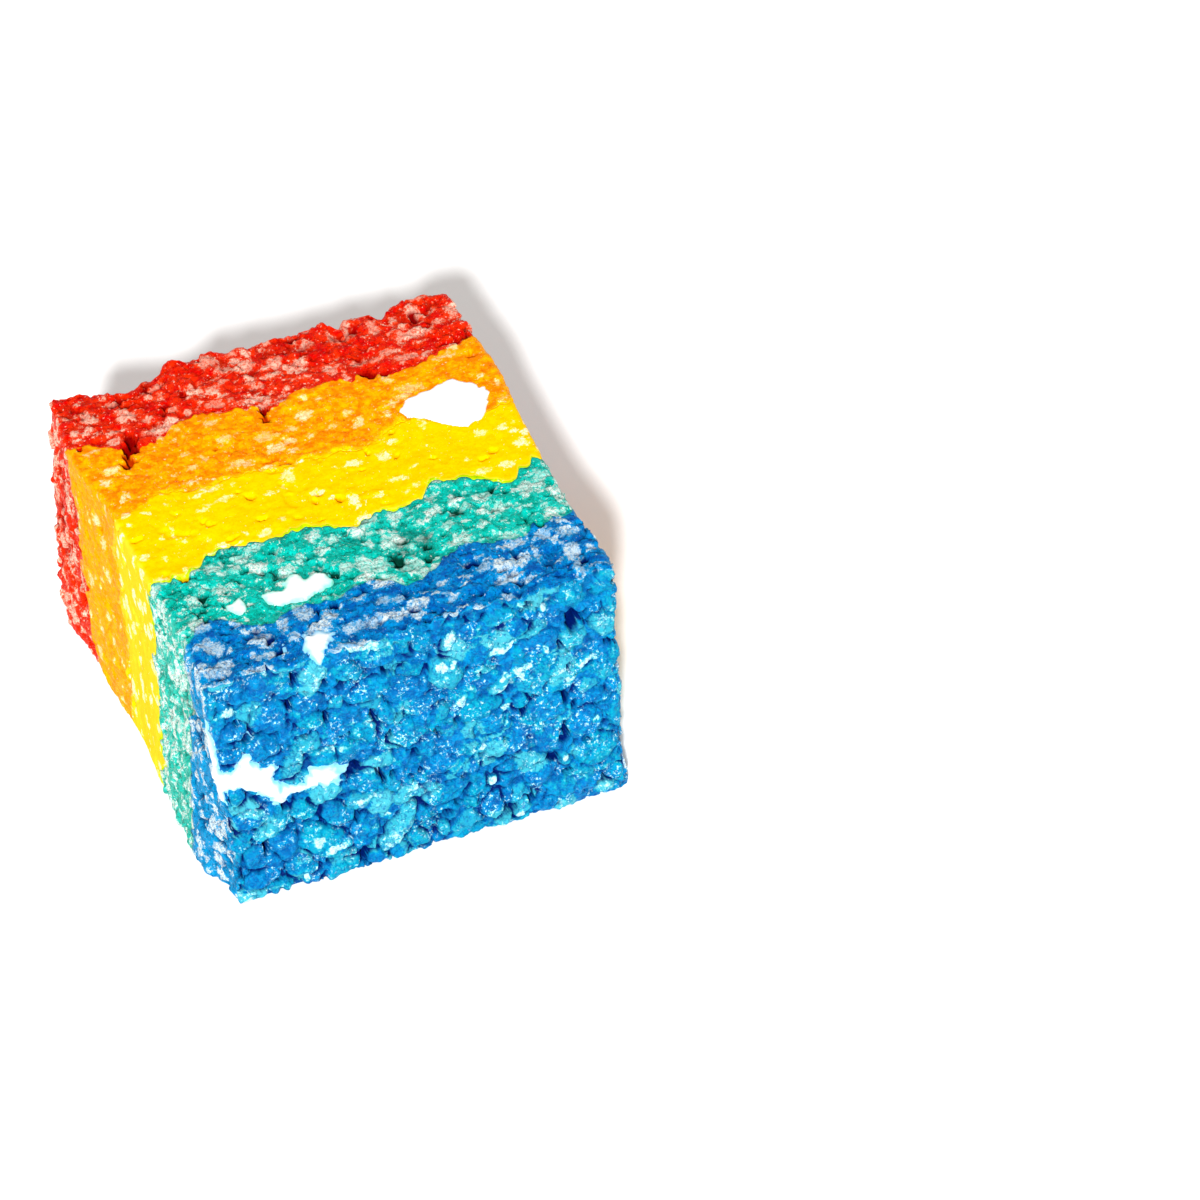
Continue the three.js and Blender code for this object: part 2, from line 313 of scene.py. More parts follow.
def write_points(piece, points, pale, deep, number=0.0, coat=0.0):
    """Puts the moved points back into the piece, with four marks for its material at each: how pale
    and how deep it is there, its grain's number, and how thickly it is coated. On the rice the deep
    mark becomes painted shade, and the small coat mark of a cut side paints it lighter, partly as painted
    light."""
    piece.data.vertices.foreach_set("co", ((points + np.array(corner)) * MM).ravel())
    attribute = piece.data.attributes.new("rice", "FLOAT_COLOR", "POINT")
    marks = np.stack(np.broadcast_arrays(pale, deep, number, coat), axis=1)
    attribute.data.foreach_set("color", marks.astype(np.float32).ravel())
    piece.data.update()


def rounded(square):
    """The square block's points drawn in to its rounded edges, and the way outward at each."""
    inner = np.clip(square, EDGE_RADIUS, np.array([WIDTH, DEPTH, HEIGHT]) - EDGE_RADIUS)
    out = square - inner
    length = np.linalg.norm(out, axis=1, keepdims=True)
    out = np.divide(out, length, out=np.zeros_like(out), where=length > 1e-6)
    return inner + out * np.minimum(length, EDGE_RADIUS), out


# How the knife cuts lie: y and then x of the two cut sides, at the top edge and at the foot. The
# swell is how far the left one stands out half way up.
LEFT_TOP = [[0, -0.3], [9.5, 0.5], [22, -0.2], [35.5, -0.6], [48.8, -2.1], [60, -1.2]]
LEFT_SWELL = [[0, 0.3], [10, 0.4], [30, 0.2], [48, -0.2], [60, -0.9]]
LEFT_FOOT = [[0, 0.6], [9.5, -1.9], [22, -1.6], [35.5, -1.6], [48.8, -2.6], [60, -3.2]]
RIGHT_TOP = [[0, 52.4], [8.5, 52.7], [12, 52], [22, 52], [33, 52.5], [42, 53.1], [60, 52.3]]
RIGHT_FOOT = [[0, 52], [22, 52.6], [42, 53], [60, 52.4]]
FRONT_LEAN = 0.9


def leaned(points):
    """The upright block's points moved so that its sides lean as the knife left them."""
    moved = points.copy()
    rise = rising(points[:, 2], 0, HEIGHT)
    left = along(LEFT_FOOT, points[:, 1]) * (1 - rise) + along(LEFT_TOP, points[:, 1]) * rise
    left += along(LEFT_SWELL, points[:, 1]) * np.sin(np.clip(points[:, 2] / HEIGHT, 0, 1) * math.pi)
    right = along(RIGHT_FOOT, points[:, 1]) * (1 - rise) + along(RIGHT_TOP, points[:, 1]) * rise
    moved[:, 0] = left + (right - left) * points[:, 0] / WIDTH
    moved[:, 2] = np.maximum(moved[:, 2], 0)
    return moved


def layer_end(line, x, z):
    """Where a layer ends: the line seen on the top fades into a slow wave further down."""
    line_depth = 12
    near_top = rising(z, HEIGHT - line_depth, HEIGHT - 2)
    mean = sum(pair[1] for pair in line) / len(line)
    wave = 0.7 * np.sin(x * 0.31 + mean) + 0.6 * np.sin(z * 0.62 + mean * 2)
    smooth = (mean + wave) * (1 - near_top) + along(line, x) * near_top
    spots = np.stack([x, np.full_like(x, mean), z], axis=1)
    return smooth + 0.9 * cloud(spots, 2.2, 5) + 0.6 * cloud(spots, 1.1, 6) + 0.35 * cloud(spots, 0.5, 7)


# Outlines in x and y of the marshmallow lumps in the cut top. The layers dip under them.
LUMPS = {
    "marshmallow_large": [
        (37.8, 39.4), (39.6, 41), (42.8, 41.6), (44, 42.2), (46.3, 42.3), (47.6, 41), (49.3, 39.4),
        (49.4, 38.3), (48.7, 36.4), (48.1, 34.9), (47, 33.8), (45.9, 33.6), (45.1, 32.9), (44, 33.6),
        (42.4, 34.9), (40.6, 36.8), (38.7, 37.8),
    ],
    "marshmallow_middle": [
        (11.2, 13.4), (12.2, 13.8), (13.3, 13.3), (14.3, 13.4), (14.8, 14.5), (15.8, 15.5), (17, 15),
        (17.3, 14), (18.9, 14.7), (20.1, 13.9), (20, 12.5), (18.9, 11.6), (17.6, 10.9), (16.1, 10),
        (14.5, 10.3), (12.3, 10.9), (11.5, 11.9),
    ],
    "marshmallow_small": [(6.7, 13.3), (8.7, 13.7), (9, 11.9), (8.7, 10.8), (7.9, 11.3), (7, 11.9)],
}
LUMP_DIP = 1.0


def inside_outline(outline, x, y):
    """How far each place lies inside an outline, in mm: negative outside it."""
    inside = np.zeros(len(x), bool)
    nearest = np.full(len(x), 1e9)
    for (x0, y0), (x1, y1) in zip(outline, outline[1:] + outline[:1]):
        crosses = (y0 > y) != (y1 > y)
        at = x0 + (y - y0) * (x1 - x0) / ((y1 - y0) or 1e-9)
        inside ^= crosses & (x < at)
        run = np.array([x1 - x0, y1 - y0])
        share = np.clip(((x - x0) * run[0] + (y - y0) * run[1]) / (run @ run), 0, 1)
        nearest = np.minimum(nearest, np.hypot(x - x0 - share * run[0], y - y0 - share * run[1]))
    return np.where(inside, nearest, -nearest)


# Holes torn in the cut top, read off the photo: x, y, half sizes in x and y, depth.
TORN_HOLES = [
    (7.8, 48.8, 0.9, 1.1, 2.4), (7.0, 47.0, 0.8, 1.3, 2.6), (6.3, 45.2, 0.6, 1.2, 2.2),
    (5.5, 44.0, 0.8, 0.6, 1.4),
    (23.9, 47.2, 0.8, 0.8, 2), (23.4, 45.6, 0.5, 1, 1.5), (37.4, 48.4, 1, 1.2, 1.2),
    (39.3, 47.6, 0.6, 0.8, 0.9), (1.7, 49.4, 0.3, 0.6, 1), (16.1, 42.2, 0.35, 0.6, 0.8),
    (49.9, 46.3, 0.7, 0.6, 0.8), (15.8, 54.6, 0.4, 0.9, 0.9), (17.6, 58.3, 0.8, 0.35, 0.8),
    (8.4, 55.5, 1.5, 0.3, 0.7), (31.8, 55.5, 0.8, 0.4, 0.8), (37.1, 52.2, 0.5, 0.4, 0.8),
    (47.1, 54.4, 0.5, 0.4, 0.8), (34.3, 52.7, 0.5, 0.3, 0.7), (47.7, 50, 0.8, 0.35, 0.7),
    (36, 36.1, 0.35, 0.6, 0.7), (32.3, 33.5, 0.3, 0.6, 0.6), (22.6, 36.1, 1, 0.3, 0.5),
    (16.4, 31.4, 0.6, 0.7, 0.7), (15.6, 32.8, 0.4, 0.35, 0.5), (10.4, 28.5, 0.6, 0.4, 0.6),
    (9.8, 29.4, 0.35, 0.4, 0.5), (16.5, 26.8, 0.6, 0.45, 0.6), (26.2, 26.8, 0.45, 0.55, 0.9),
    (1.4, 29.6, 0.9, 0.4, 0.5), (12, 24.9, 0.9, 0.3, 0.5), (22.9, 23.6, 0.6, 0.3, 0.6),
    (30.4, 30.7, 0.35, 0.35, 0.6), (35.3, 31.4, 0.35, 0.4, 0.6), (44.9, 26.1, 0.7, 0.4, 0.6),
    (46.5, 27.4, 0.8, 0.5, 0.5), (39.3, 29.3, 0.6, 0.25, 0.4), (45.6, 19.2, 0.6, 0.6, 1.2),
    (50.3, 16.4, 0.9, 0.35, 1.2), (47.1, 11.7, 0.45, 0.6, 1.1), (32.3, 11.4, 0.5, 0.7, 1),
    (32.9, 14.2, 0.4, 0.35, 0.8), (28.5, 14.1, 0.45, 0.4, 0.8), (45.9, 13.4, 0.3, 0.9, 0.7),
    (35.4, 15.3, 0.35, 0.35, 0.7), (5.1, 20.2, 0.9, 0.5, 0.9), (2.3, 18.6, 0.9, 0.35, 0.6),
    (4.3, 13.9, 0.8, 0.4, 1), (3.7, 12, 0.3, 0.8, 0.9), (6.4, 13.3, 0.4, 0.35, 0.8),
    (21.1, 13.8, 0.6, 0.7, 1.1), (22.6, 12.2, 0.6, 0.35, 0.9), (7.9, 15.5, 0.35, 0.45, 0.7),
    (11.4, 18.6, 0.5, 0.5, 0.7), (14, 17.2, 0.35, 0.35, 0.7), (18.9, 8.1, 0.6, 0.55, 1.3),
    (16.4, 8, 0.35, 0.8, 1), (6.4, 2.7, 0.4, 0.45, 0.8), (38.7, 1.9, 0.5, 0.35, 0.9),
    (40.6, 2.7, 0.7, 0.3, 0.8), (42, 3.6, 0.35, 0.45, 0.8), (45.3, 2.2, 0.4, 0.45, 0.8),
    (36, 2.5, 0.4, 0.45, 0.8), (29.5, 2.2, 0.5, 0.3, 0.8),
]
# Pale grains that stand out in the cut top, read the same way: x, y, half sizes in x and y.
PALE_GRAINS = [
    (2, 7.6, 1.3, 0.8), (3.2, 6.3, 1, 0.9), (2.8, 3, 2, 1.1), (8.9, 8, 1, 0.35), (9.2, 5.7, 1, 1.3),
    (9, 2.8, 1.2, 0.7), (7.1, 0.3, 1.8, 1.2), (1, 0.3, 1.5, 0.7), (14.6, 8.4, 1.1, 1.2),
    (12, 7.2, 0.6, 1.3), (16.1, 5, 1.3, 1.4), (12.8, 4.7, 0.6, 0.7), (17.6, 6.6, 0.8, 1),
    (21.7, 8.1, 1, 0.6), (18.4, 0.3, 2.2, 1.3), (20.2, 3.6, 1.8, 0.8), (23.4, 3.4, 2.2, 0.9),
    (26, 3.1, 0.9, 0.9), (24.3, 6.4, 0.8, 0.8), (26.2, 5.9, 0.8, 0.7), (25.7, 9.7, 1.6, 1),
    (28.5, 4.1, 1.2, 1), (37.6, 7.2, 0.9, 0.9), (39.3, 6.6, 0.9, 1.2), (42, 6.6, 1.3, 1.2),
    (40.7, 5.9, 0.8, 0.8), (39.6, 3.9, 1.6, 0.9), (41.8, 2.8, 1.1, 0.4), (44.3, 6.9, 0.4, 1.4),
    (48.1, 5.6, 1, 1.4), (42.4, 9.7, 1.6, 0.6), (46.3, 9.7, 0.9, 1), (49, 9.1, 1.3, 0.8),
    (31.5, 0.6, 1, 0.9), (38.7, 0.9, 0.8, 0.6), (35.9, 8.6, 0.8, 0.6), (31.8, 6.6, 0.6, 0.5),
    (32.4, 3.4, 0.6, 0.7), (34.8, 0.3, 0.6, 0.7), (48.2, 2.2, 0.6, 1.2), (4, 16.1, 1, 0.9),
    (7.5, 16.1, 0.9, 1), (2.5, 11.3, 1.2, 1.4), (5.4, 20.9, 1, 0.7), (11.8, 21.1, 1.2, 0.9),
    (13.3, 22.2, 1, 0.6), (15.8, 18.8, 0.6, 0.9), (15.8, 16.6, 1, 0.7), (17.6, 17.5, 0.5, 0.5),
    (22.9, 19.8, 1.3, 0.5), (20.8, 20.9, 0.8, 0.6), (24.7, 13.6, 1, 1.6), (22.6, 14.1, 0.8, 0.9),
    (12.8, 18.8, 1.4, 1.1), (7.9, 20.3, 1, 0.8), (1.7, 21, 0.8, 0.7), (28.1, 21.2, 1.1, 1.2),
    (26.7, 19.8, 1.2, 0.9), (29.6, 16.3, 1.6, 1.1), (32.8, 15.6, 0.8, 0.6), (26.3, 12.6, 1.4, 1.3),
    (29.8, 11.1, 1.5, 1.3), (36.3, 12.8, 0.9, 0.8), (37.8, 13, 0.9, 1.1), (36.7, 16.3, 0.9, 0.6),
    (35.9, 19.4, 1, 0.8), (31.5, 20.6, 0.9, 0.9), (39.5, 20.9, 0.7, 0.7), (43.4, 16.6, 0.8, 1),
    (48.1, 19.1, 0.9, 0.9), (49, 13.3, 0.8, 1), (50.6, 20.3, 1, 1), (51.2, 15.3, 0.6, 1),
    (42.4, 19.7, 1.2, 0.9), (34.3, 18, 1, 0.4), (42.8, 11.2, 1, 0.6), (50.3, 17.5, 0.5, 0.5),
    (12.3, 35, 1.5, 0.6), (10.4, 34.4, 0.7, 0.4), (13.6, 32.4, 1.3, 0.6), (10.4, 31.4, 0.8, 0.5),
    (15.4, 34.7, 0.4, 0.5), (21.7, 33.3, 0.9, 1.2), (20.6, 31.6, 0.35, 0.4), (23.9, 28.9, 0.6, 0.6),
    (5.6, 29, 0.25, 1.9), (4.3, 28.5, 0.35, 0.35), (1.1, 25.8, 0.8, 0.8), (9.2, 26.1, 0.4, 0.5),
    (3.3, 24.6, 0.5, 0.7), (6.4, 27.1, 0.5, 0.4), (10.4, 24.3, 0.8, 0.6), (15.9, 24.1, 1, 0.8),
    (18.6, 25.8, 0.6, 0.4), (6.7, 34.3, 0.4, 0.4), (1.8, 34.6, 0.4, 0.5), (22.2, 28.2, 0.3, 0.3),
    (33.7, 32.2, 0.9, 0.9), (39.2, 31.6, 0.4, 0.5), (45.9, 31.1, 0.8, 0.8), (48.8, 31, 0.9, 0.6),
    (34.3, 27.1, 1.2, 0.5), (27.8, 25.5, 0.7, 1.4), (50.3, 27.4, 1.2, 0.8), (47.4, 23.9, 1.3, 0.8),
    (44, 24.1, 1.2, 0.5), (42.8, 27.1, 0.4, 0.4), (31, 25.2, 0.8, 0.4), (34.2, 24.2, 0.6, 0.4),
    (35.7, 25, 0.7, 0.4), (24.5, 28.6, 0.4, 0.5), (50, 29.9, 0.5, 0.4), (2.2, 47.8, 0.5, 0.4),
    (3.3, 43.6, 0.9, 0.7), (1.7, 41.7, 0.6, 0.8), (4.5, 41.7, 0.35, 0.5), (12.2, 42.7, 0.7, 0.5),
    (10.8, 47.1, 0.5, 0.5), (13.1, 47.7, 0.4, 0.4), (17.3, 47.2, 0.9, 0.6), (17.6, 43.5, 0.9, 0.7),
    (19.2, 43.9, 0.4, 0.4), (21.7, 41.9, 1.2, 0.9), (22.2, 39.3, 1.3, 0.8), (17.3, 38, 1.3, 0.6),
    (10.8, 37.4, 0.9, 0.5), (9.5, 39.6, 0.4, 0.4), (12, 39.7, 0.8, 0.5), (13.9, 41.1, 0.4, 0.9),
    (24.2, 38, 0.8, 0.5), (25.4, 42, 0.7, 0.5), (26.8, 40, 0.35, 0.4), (20.1, 36, 1, 0.4),
    (24.3, 35.3, 0.4, 0.4), (27.6, 43.8, 1, 0.7), (32.4, 42.2, 0.5, 0.7), (28.7, 47.2, 0.5, 0.5),
    (30.1, 46.1, 0.5, 0.6), (39.6, 42.1, 1.1, 0.6), (41.3, 42.8, 0.35, 0.6), (37.8, 41.3, 0.7, 0.6),
    (48.4, 48.9, 0.7, 0.9), (47.1, 47.1, 1.5, 0.4), (50.7, 39.6, 0.5, 0.5), (50.9, 36.6, 0.9, 0.35),
    (36.8, 39.6, 0.4, 0.9), (40.1, 36, 0.4, 1.2), (30.1, 40.3, 0.8, 0.35), (39, 46, 0.6, 0.6),
    (3.7, 55.7, 0.9, 0.6), (3.4, 54.6, 0.7, 0.4), (1.7, 52.2, 0.5, 0.5), (3.4, 52.2, 0.5, 0.5),
    (7.6, 57.1, 1.5, 0.7), (12.3, 57.1, 1.5, 0.7), (6.4, 50.8, 1.3, 0.5), (1.5, 51, 0.8, 0.4),
    (5.8, 48.9, 0.9, 0.8), (12.6, 49.6, 1.4, 0.7), (10.3, 48.9, 0.9, 0.6), (8.7, 53.3, 1, 0.8),
    (10.6, 51.4, 0.6, 0.5), (13.6, 51.8, 0.9, 0.6), (13.1, 55.2, 0.4, 0.5), (17.6, 60.8, 1, 0.6),
    (15.8, 60.7, 0.7, 0.5), (19.3, 60.7, 0.9, 0.5), (20.3, 58.3, 1.4, 1), (21.4, 56.4, 0.9, 0.6),
    (23.9, 56.4, 1.8, 0.8), (25.1, 58.3, 0.6, 1), (23.7, 59.1, 0.6, 0.35), (19.2, 53.3, 0.8, 0.8),
    (17, 54.1, 1, 0.9), (24, 53.3, 0.6, 1.4), (27, 53.3, 0.9, 0.6), (23.7, 49.6, 2.3, 0.6),
    (26.3, 55.2, 0.7, 0.5), (27.8, 55.2, 0.9, 1), (30.6, 54.1, 1, 0.9), (29.3, 53, 0.5, 0.4),
    (28.1, 59.4, 0.6, 0.6), (29.8, 60.8, 0.8, 0.4), (31.3, 58.6, 0.4, 1.2), (32.4, 57.1, 0.8, 0.7),
    (36, 57.1, 0.7, 1.2), (38, 58.9, 0.6, 1), (37.8, 57, 0.6, 0.8), (39.6, 60.2, 1.2, 0.4),
    (41, 56.8, 0.7, 1.3), (43.7, 57.4, 0.6, 0.7), (46.8, 57.1, 1, 1), (44.3, 55.5, 0.8, 0.5),
    (44.6, 53.5, 1.6, 1), (47, 53.3, 1, 0.8), (49, 54.6, 0.9, 0.6), (51.2, 56, 0.8, 1),
    (48, 59.6, 1, 0.6), (37.4, 51, 1.5, 0.6), (39.2, 50.7, 0.8, 0.6), (41.2, 51.1, 1.2, 0.6),
    (42.8, 49.2, 1.7, 0.7), (44.8, 48.8, 1, 0.6), (33.4, 51, 0.8, 1), (34.8, 48.9, 0.35, 0.9),
]
# Where two layers meet, both have only these small depths, in mm.
SEAM = {"crevice": 0.15, "hole": 0.2, "torn": 0.15, "rough": 0.08}
# The marks above reach this far down from the top. A point in no pale grain counts as this far in one.
MARKS_DEPTH = 2.5
NO_GRAIN = -0.7
# A cut swells and sinks by this much over its whole breadth.
SWELL = 0.25


def oval(x, y, half_x, half_y):
    """How far out in an oval each place lies: 0 at its middle and 1 at its rim."""
    return np.hypot(x / half_x, y / half_y)


def round_pits(points, share):
    """Round bubbles in the syrup that a cut has opened: 1 in one, 0 outside."""
    size = 3.6
    cell = np.floor(points / size)
    pits = np.zeros(len(points))
    for number in range(27):
        near = cell + (number % 3 - 1, number // 3 % 3 - 1, number // 9 - 1)
        centre = near + np.stack([scatter(near, seed) for seed in (81, 82, 83)], axis=1)
        radius = (0.3 + 0.5 * scatter(near, 84) ** 2) * (scatter(near, 85) < share)
        away = np.linalg.norm(points - centre * size, axis=1)
        pits = np.maximum(pits, 1 - rising(away, radius * 0.6, radius * 1.1 + 1e-6))
    return pits


def top_marks(body):
    """How far each point of the top lies inside a listed pale grain, and how deep in a torn hole."""
    ragged = stirred(stirred(body, 0.3, 1.3, 48), 0.25, 0.5, 52)
    grain = np.full(len(body), -0.9)
    dip = np.zeros(len(body))
    for x, y, reach_x, reach_y in PALE_GRAINS:
        away = oval(ragged[:, 0] - x, ragged[:, 1] - y, reach_x, reach_y)
        grain = np.maximum(grain, (1.1 - away) * min(reach_x, reach_y))
    for x, y, reach_x, reach_y, depth in TORN_HOLES:
        away = oval(ragged[:, 0] - x, ragged[:, 1] - y, reach_x, reach_y)
        dip = np.maximum(dip, depth * (1 - rising(away, 0.5, 1.15)))
    return grain, dip


def cut_face(body, out, look, seam):
    """How far a knife-cut face stands out at each point, how far inside a pale cut grain the point
    lies, and the number of its grain."""
    def part(name):
        """One depth from the layer's look, fading to the seam's depth where layers meet."""
        return look[name] * (1 - seam) + SEAM[name] * seam

    side = rising(np.abs(out[:, 0]), 0.3, 0.8)
    uneven = stirred(stirred(body, 0.6, 1.8, 40), 0.3, 0.7, 44)
    distance, number = nearest_grain(SLICES, uneven)
    crumb, crumb_number = nearest_grain(CRUMBS, uneven)
    small = cloud(body, 0.9, 2)
    fine = cloud(body, 0.45, 1)
    between = rising(distance, -0.15, 0.25)
    gaps = rising(cloud(body, 2.4, 12), -0.3, 0.5)
    depths = cloud(body, 2.6, 3) + 0.5 * cloud(body, 1.2, 4)
    hollow = rising(depths, look["hole_start"], look["hole_start"] + 0.3)
    cut = part("torn") * (redraw(number, 9) - 0.5) * (1 - between)
    cut -= between * (part("crevice") * gaps + part("hole") * hollow)
    pits = rising(cloud(body, 0.8, 14) + 0.35 * cloud(body, 0.4, 15), 0.3, 0.7)
    cut -= part("crevice") * pits + 0.6 * round_pits(uneven, look["pit_share"])
    cut += part("rough") * (0.5 * cloud(body, 1.6, 8) + 0.4 * small + 0.3 * fine)
    cut += SWELL * cloud(body, 8, 7)
    cut += 0.5 * part("rough") * (redraw(crumb_number, 10) - 0.5) * (1 - rising(crumb, -0.15, 0.1))

    # The cut sides show more pale grains and flecks than the top: partly paler grain, partly painted
    # light.
    share = look["pale_share"] * (1 - side) + look["side_pale"] * side + 0.15 * cloud(body, 6, 13)
    inside = np.where(redraw(number, 3) < share, -distance, NO_GRAIN)
    flecks = np.where(redraw(crumb_number, 4) < look["fleck_share"] * (1 + 0.6 * side), -crumb, NO_GRAIN)
    inside = np.maximum(inside, flecks) + 0.15 * small + 0.15 * fine
    on_top = body[:, 2] > HEIGHT - MARKS_DEPTH
    grain, dip = top_marks(body[on_top])
    inside[on_top] = np.maximum(inside[on_top], grain) - look["top_shrink"] - 1.5 * np.minimum(dip, 1)
    cut[on_top] -= dip
    for outline in LUMPS.values():
        within = inside_outline(outline, body[:, 0], body[:, 1])
        cut -= LUMP_DIP * rising(within, 0.0, 0.4) * on_top
    return cut, inside, number


def bubble_holes(points):
    """Small round holes where bubbles broke in the syrup of a pressed face: 1 in one, 0 outside."""
    size = 3.2
    cell = np.floor(points / size)
    holes = np.zeros(len(points))
    for step_x in (-1, 0, 1):
        for step_z in (-1, 0, 1):
            near = cell + (step_x, 0, step_z)
            near[:, 1] = 0
            centre_x = (near[:, 0] + scatter(near, 31)) * size
            centre_z = (near[:, 2] + scatter(near, 32)) * size
            radius = 0.2 + 0.22 * scatter(near, 33)
            away = np.hypot(points[:, 0] - centre_x, points[:, 2] - centre_z)
            holes = np.maximum(holes, 1 - rising(away, radius * 0.7, radius * 1.25))
    return holes


# Grains that stand out on the pressed front, read off the photo: x, z, half length, half
# width, turn, rise, paleness.
FRONT_GRAINS = [
    (2.9, 27.7, 1.9, 1.7, 0, 0.35, 0.25), (1.9, 24.2, 2, 1.3, -0.4, 0.3, 0.25),
    (6.3, 23.9, 2.2, 2.2, 0, 0.4, 0.3), (7.6, 28.2, 3, 2.4, 0.2, 0.3, 0.2),
    (12.2, 29.2, 2, 1.6, 0.2, 0.35, 0.25), (12.6, 26.1, 1.9, 1.2, -0.2, 0.45, 0.55),
    (15.8, 27.4, 1.5, 1.3, 0.3, 0.45, 0.6), (17.9, 32, 2.3, 1.7, -0.3, 0.5, 0.5),
    (21.9, 32.5, 2.4, 1.7, 0.1, 0.35, 0.2), (19.8, 28, 3.2, 1.9, 0.2, 0.4, 0.35),
    (24.1, 29.2, 1.2, 1.8, 0, 0.35, 0.3), (21.6, 23.6, 1.2, 1.7, 0.1, 0.4, 0.45),
    (23.9, 19.8, 2.7, 2.2, 0.3, 0.5, 0.4), (18.5, 21.8, 2, 1.6, 0.1, 0.3, 0.55),
    (8.5, 18.9, 2.1, 1.3, 0.1, 0.2, 0.4), (1.8, 17.7, 1.3, 1.6, 0, 0.35, 0.35),
    (2.4, 13.2, 2.6, 2, 0.3, 0.3, 0.25), (5.1, 10.8, 2.6, 1.4, 0.35, 0.45, 0.7),
    (9.8, 12.4, 2.2, 1.6, -0.4, 0.45, 0.55), (12.9, 13.9, 2.3, 1.9, 0.1, 0.35, 0.85),
    (17.9, 14.3, 2.4, 1.7, -0.3, 0.4, 0.4), (13.8, 10.4, 2.4, 1.6, -0.5, 0.4, 0.4),
    (2.9, 6.8, 1.9, 2.1, 0, 0.45, 0.3), (6.6, 7.4, 2.6, 1.9, -1.2, 0.45, 0.15),
    (11.9, 6.8, 4.2, 2.3, 2.45, 0.55, 0.55), (17.2, 6.9, 2, 2.4, 0.5, 0.35, 0.3),
    (21.4, 5.4, 4.2, 1.7, 0.75, 0.6, 0.75), (3.2, 3.3, 2.9, 1.6, 0.1, 0.4, 0.2),
    (8.5, 3.6, 2.4, 1.8, -0.3, 0.4, 0.4), (13.5, 1.4, 3, 1.3, 0.2, 0.4, 0.5),
    (18.2, 1.4, 1.6, 1.3, 0, 0.3, 0.25), (21, 1.4, 1.4, 1.4, 0, 0.3, 0.3),
    (23.6, 2.4, 2.2, 1.3, -0.8, 0.45, 0.5), (27.4, 32.8, 1.8, 1.5, 0.3, 0.45, 0.4),
    (30.4, 31.9, 1.5, 0.7, 1.1, 0.55, 0.85), (31.7, 34, 1.9, 1, 0.2, 0.3, 0.3),
    (25.4, 29.2, 1.7, 1.3, 0, 0.4, 0.45), (29.6, 27.2, 3.1, 2, 2, 0.75, 0.65),
    (25.9, 23.6, 2.4, 2, 0, 0.45, 0.3), (28.8, 21.6, 1.3, 1, 1.5, 0.45, 0.6),
    (31.3, 22.4, 1.2, 0.9, 1, 0.5, 0.85), (33.4, 19.8, 3.2, 1.8, 0.05, 0.45, 0.55),
    (34.3, 26.1, 1.9, 0.8, -0.2, 0.35, 0.75), (42.4, 27.1, 2.1, 2.2, 0, 0.45, 0.2),
    (41.2, 32.4, 1.3, 1.4, 0, 0.45, 0.15), (36.8, 33.3, 2.8, 1.5, 0.1, 0.35, 0.5),
    (47.1, 28.3, 0.9, 0.9, 0, 0.1, 0.35), (50.2, 27.8, 2.1, 2, 0, 0.6, 0.7),
    (51, 22.4, 2.2, 1.1, 1.5, 0.4, 0.5), (47.7, 22.7, 1.5, 1, 0.1, 0.35, 0.6),
    (44, 20.5, 2.3, 1.5, 0.1, 0.35, 0.45), (41.8, 23.9, 1.6, 1.5, 0, 0.35, 0.45),
    (42.3, 17.4, 2.6, 2.3, 0.2, 0.5, 0.3), (38.7, 19.2, 1.6, 1.3, 0.5, 0.35, 0.5),
    (47.1, 18.6, 1.8, 1, 0.1, 0.35, 0.65), (47.8, 16.3, 3, 1.4, -0.1, 0.25, 0.2),
    (50.6, 17.7, 1.8, 1, 1.5, 0.35, 0.25), (46.8, 13.1, 2.6, 2.3, 1.5, 0.45, 0.25),
    (50.9, 13, 2.2, 1.1, 1.5, 0.4, 0.5), (28, 13.3, 2.6, 2, 0.2, 0.2, 0.2),
    (36.5, 13, 3.4, 2.2, 0.1, 0.25, 0.2), (25.9, 16.4, 1.6, 1.2, 0.2, 0.35, 0.35),
    (31, 14.6, 2, 1.6, 0.2, 0.3, 0.4), (34.3, 17, 2.2, 1.3, 0.1, 0.3, 0.3),
    (28, 8.3, 3.1, 1.7, 0.1, 0.45, 0.35), (34, 8, 1.2, 0.8, 0.3, 0.4, 0.95),
    (31.4, 11, 1.8, 1.2, 0.3, 0.3, 0.2), (36.8, 9.2, 2, 1, 0.1, 0.3, 0.45),
    (31.2, 5.5, 1.3, 1, 1.5, 0.4, 0.55), (27.1, 2.7, 1.2, 1.2, 0, 0.45, 0.6),
    (33.8, 4, 2.4, 1.6, 1.4, 0.35, 0.2), (37.4, 2.7, 1.9, 1.2, 1, 0.45, 0.7),
    (30.2, 0.8, 3.2, 1.2, 0.15, 0.4, 0.5), (40.6, 6.6, 2.2, 2.2, 0, 0.3, 0.2),
    (43.7, 8, 1.6, 1, 1.5, 0.4, 0.6), (48.1, 8, 3.2, 2.5, 0.1, 0.5, 0.5),
    (43.4, 3.3, 2.8, 1.6, 0.1, 0.35, 0.4), (47.1, 2.8, 2, 1.8, 0, 0.3, 0.2),
    (40.9, 1.4, 2.2, 1.2, 0, 0.3, 0.3), (50.3, 3.3, 1.4, 1.5, 0, 0.35, 0.4),
    (38.6, 30.7, 3, 1.3, 0.1, 0.3, 0.2),
]
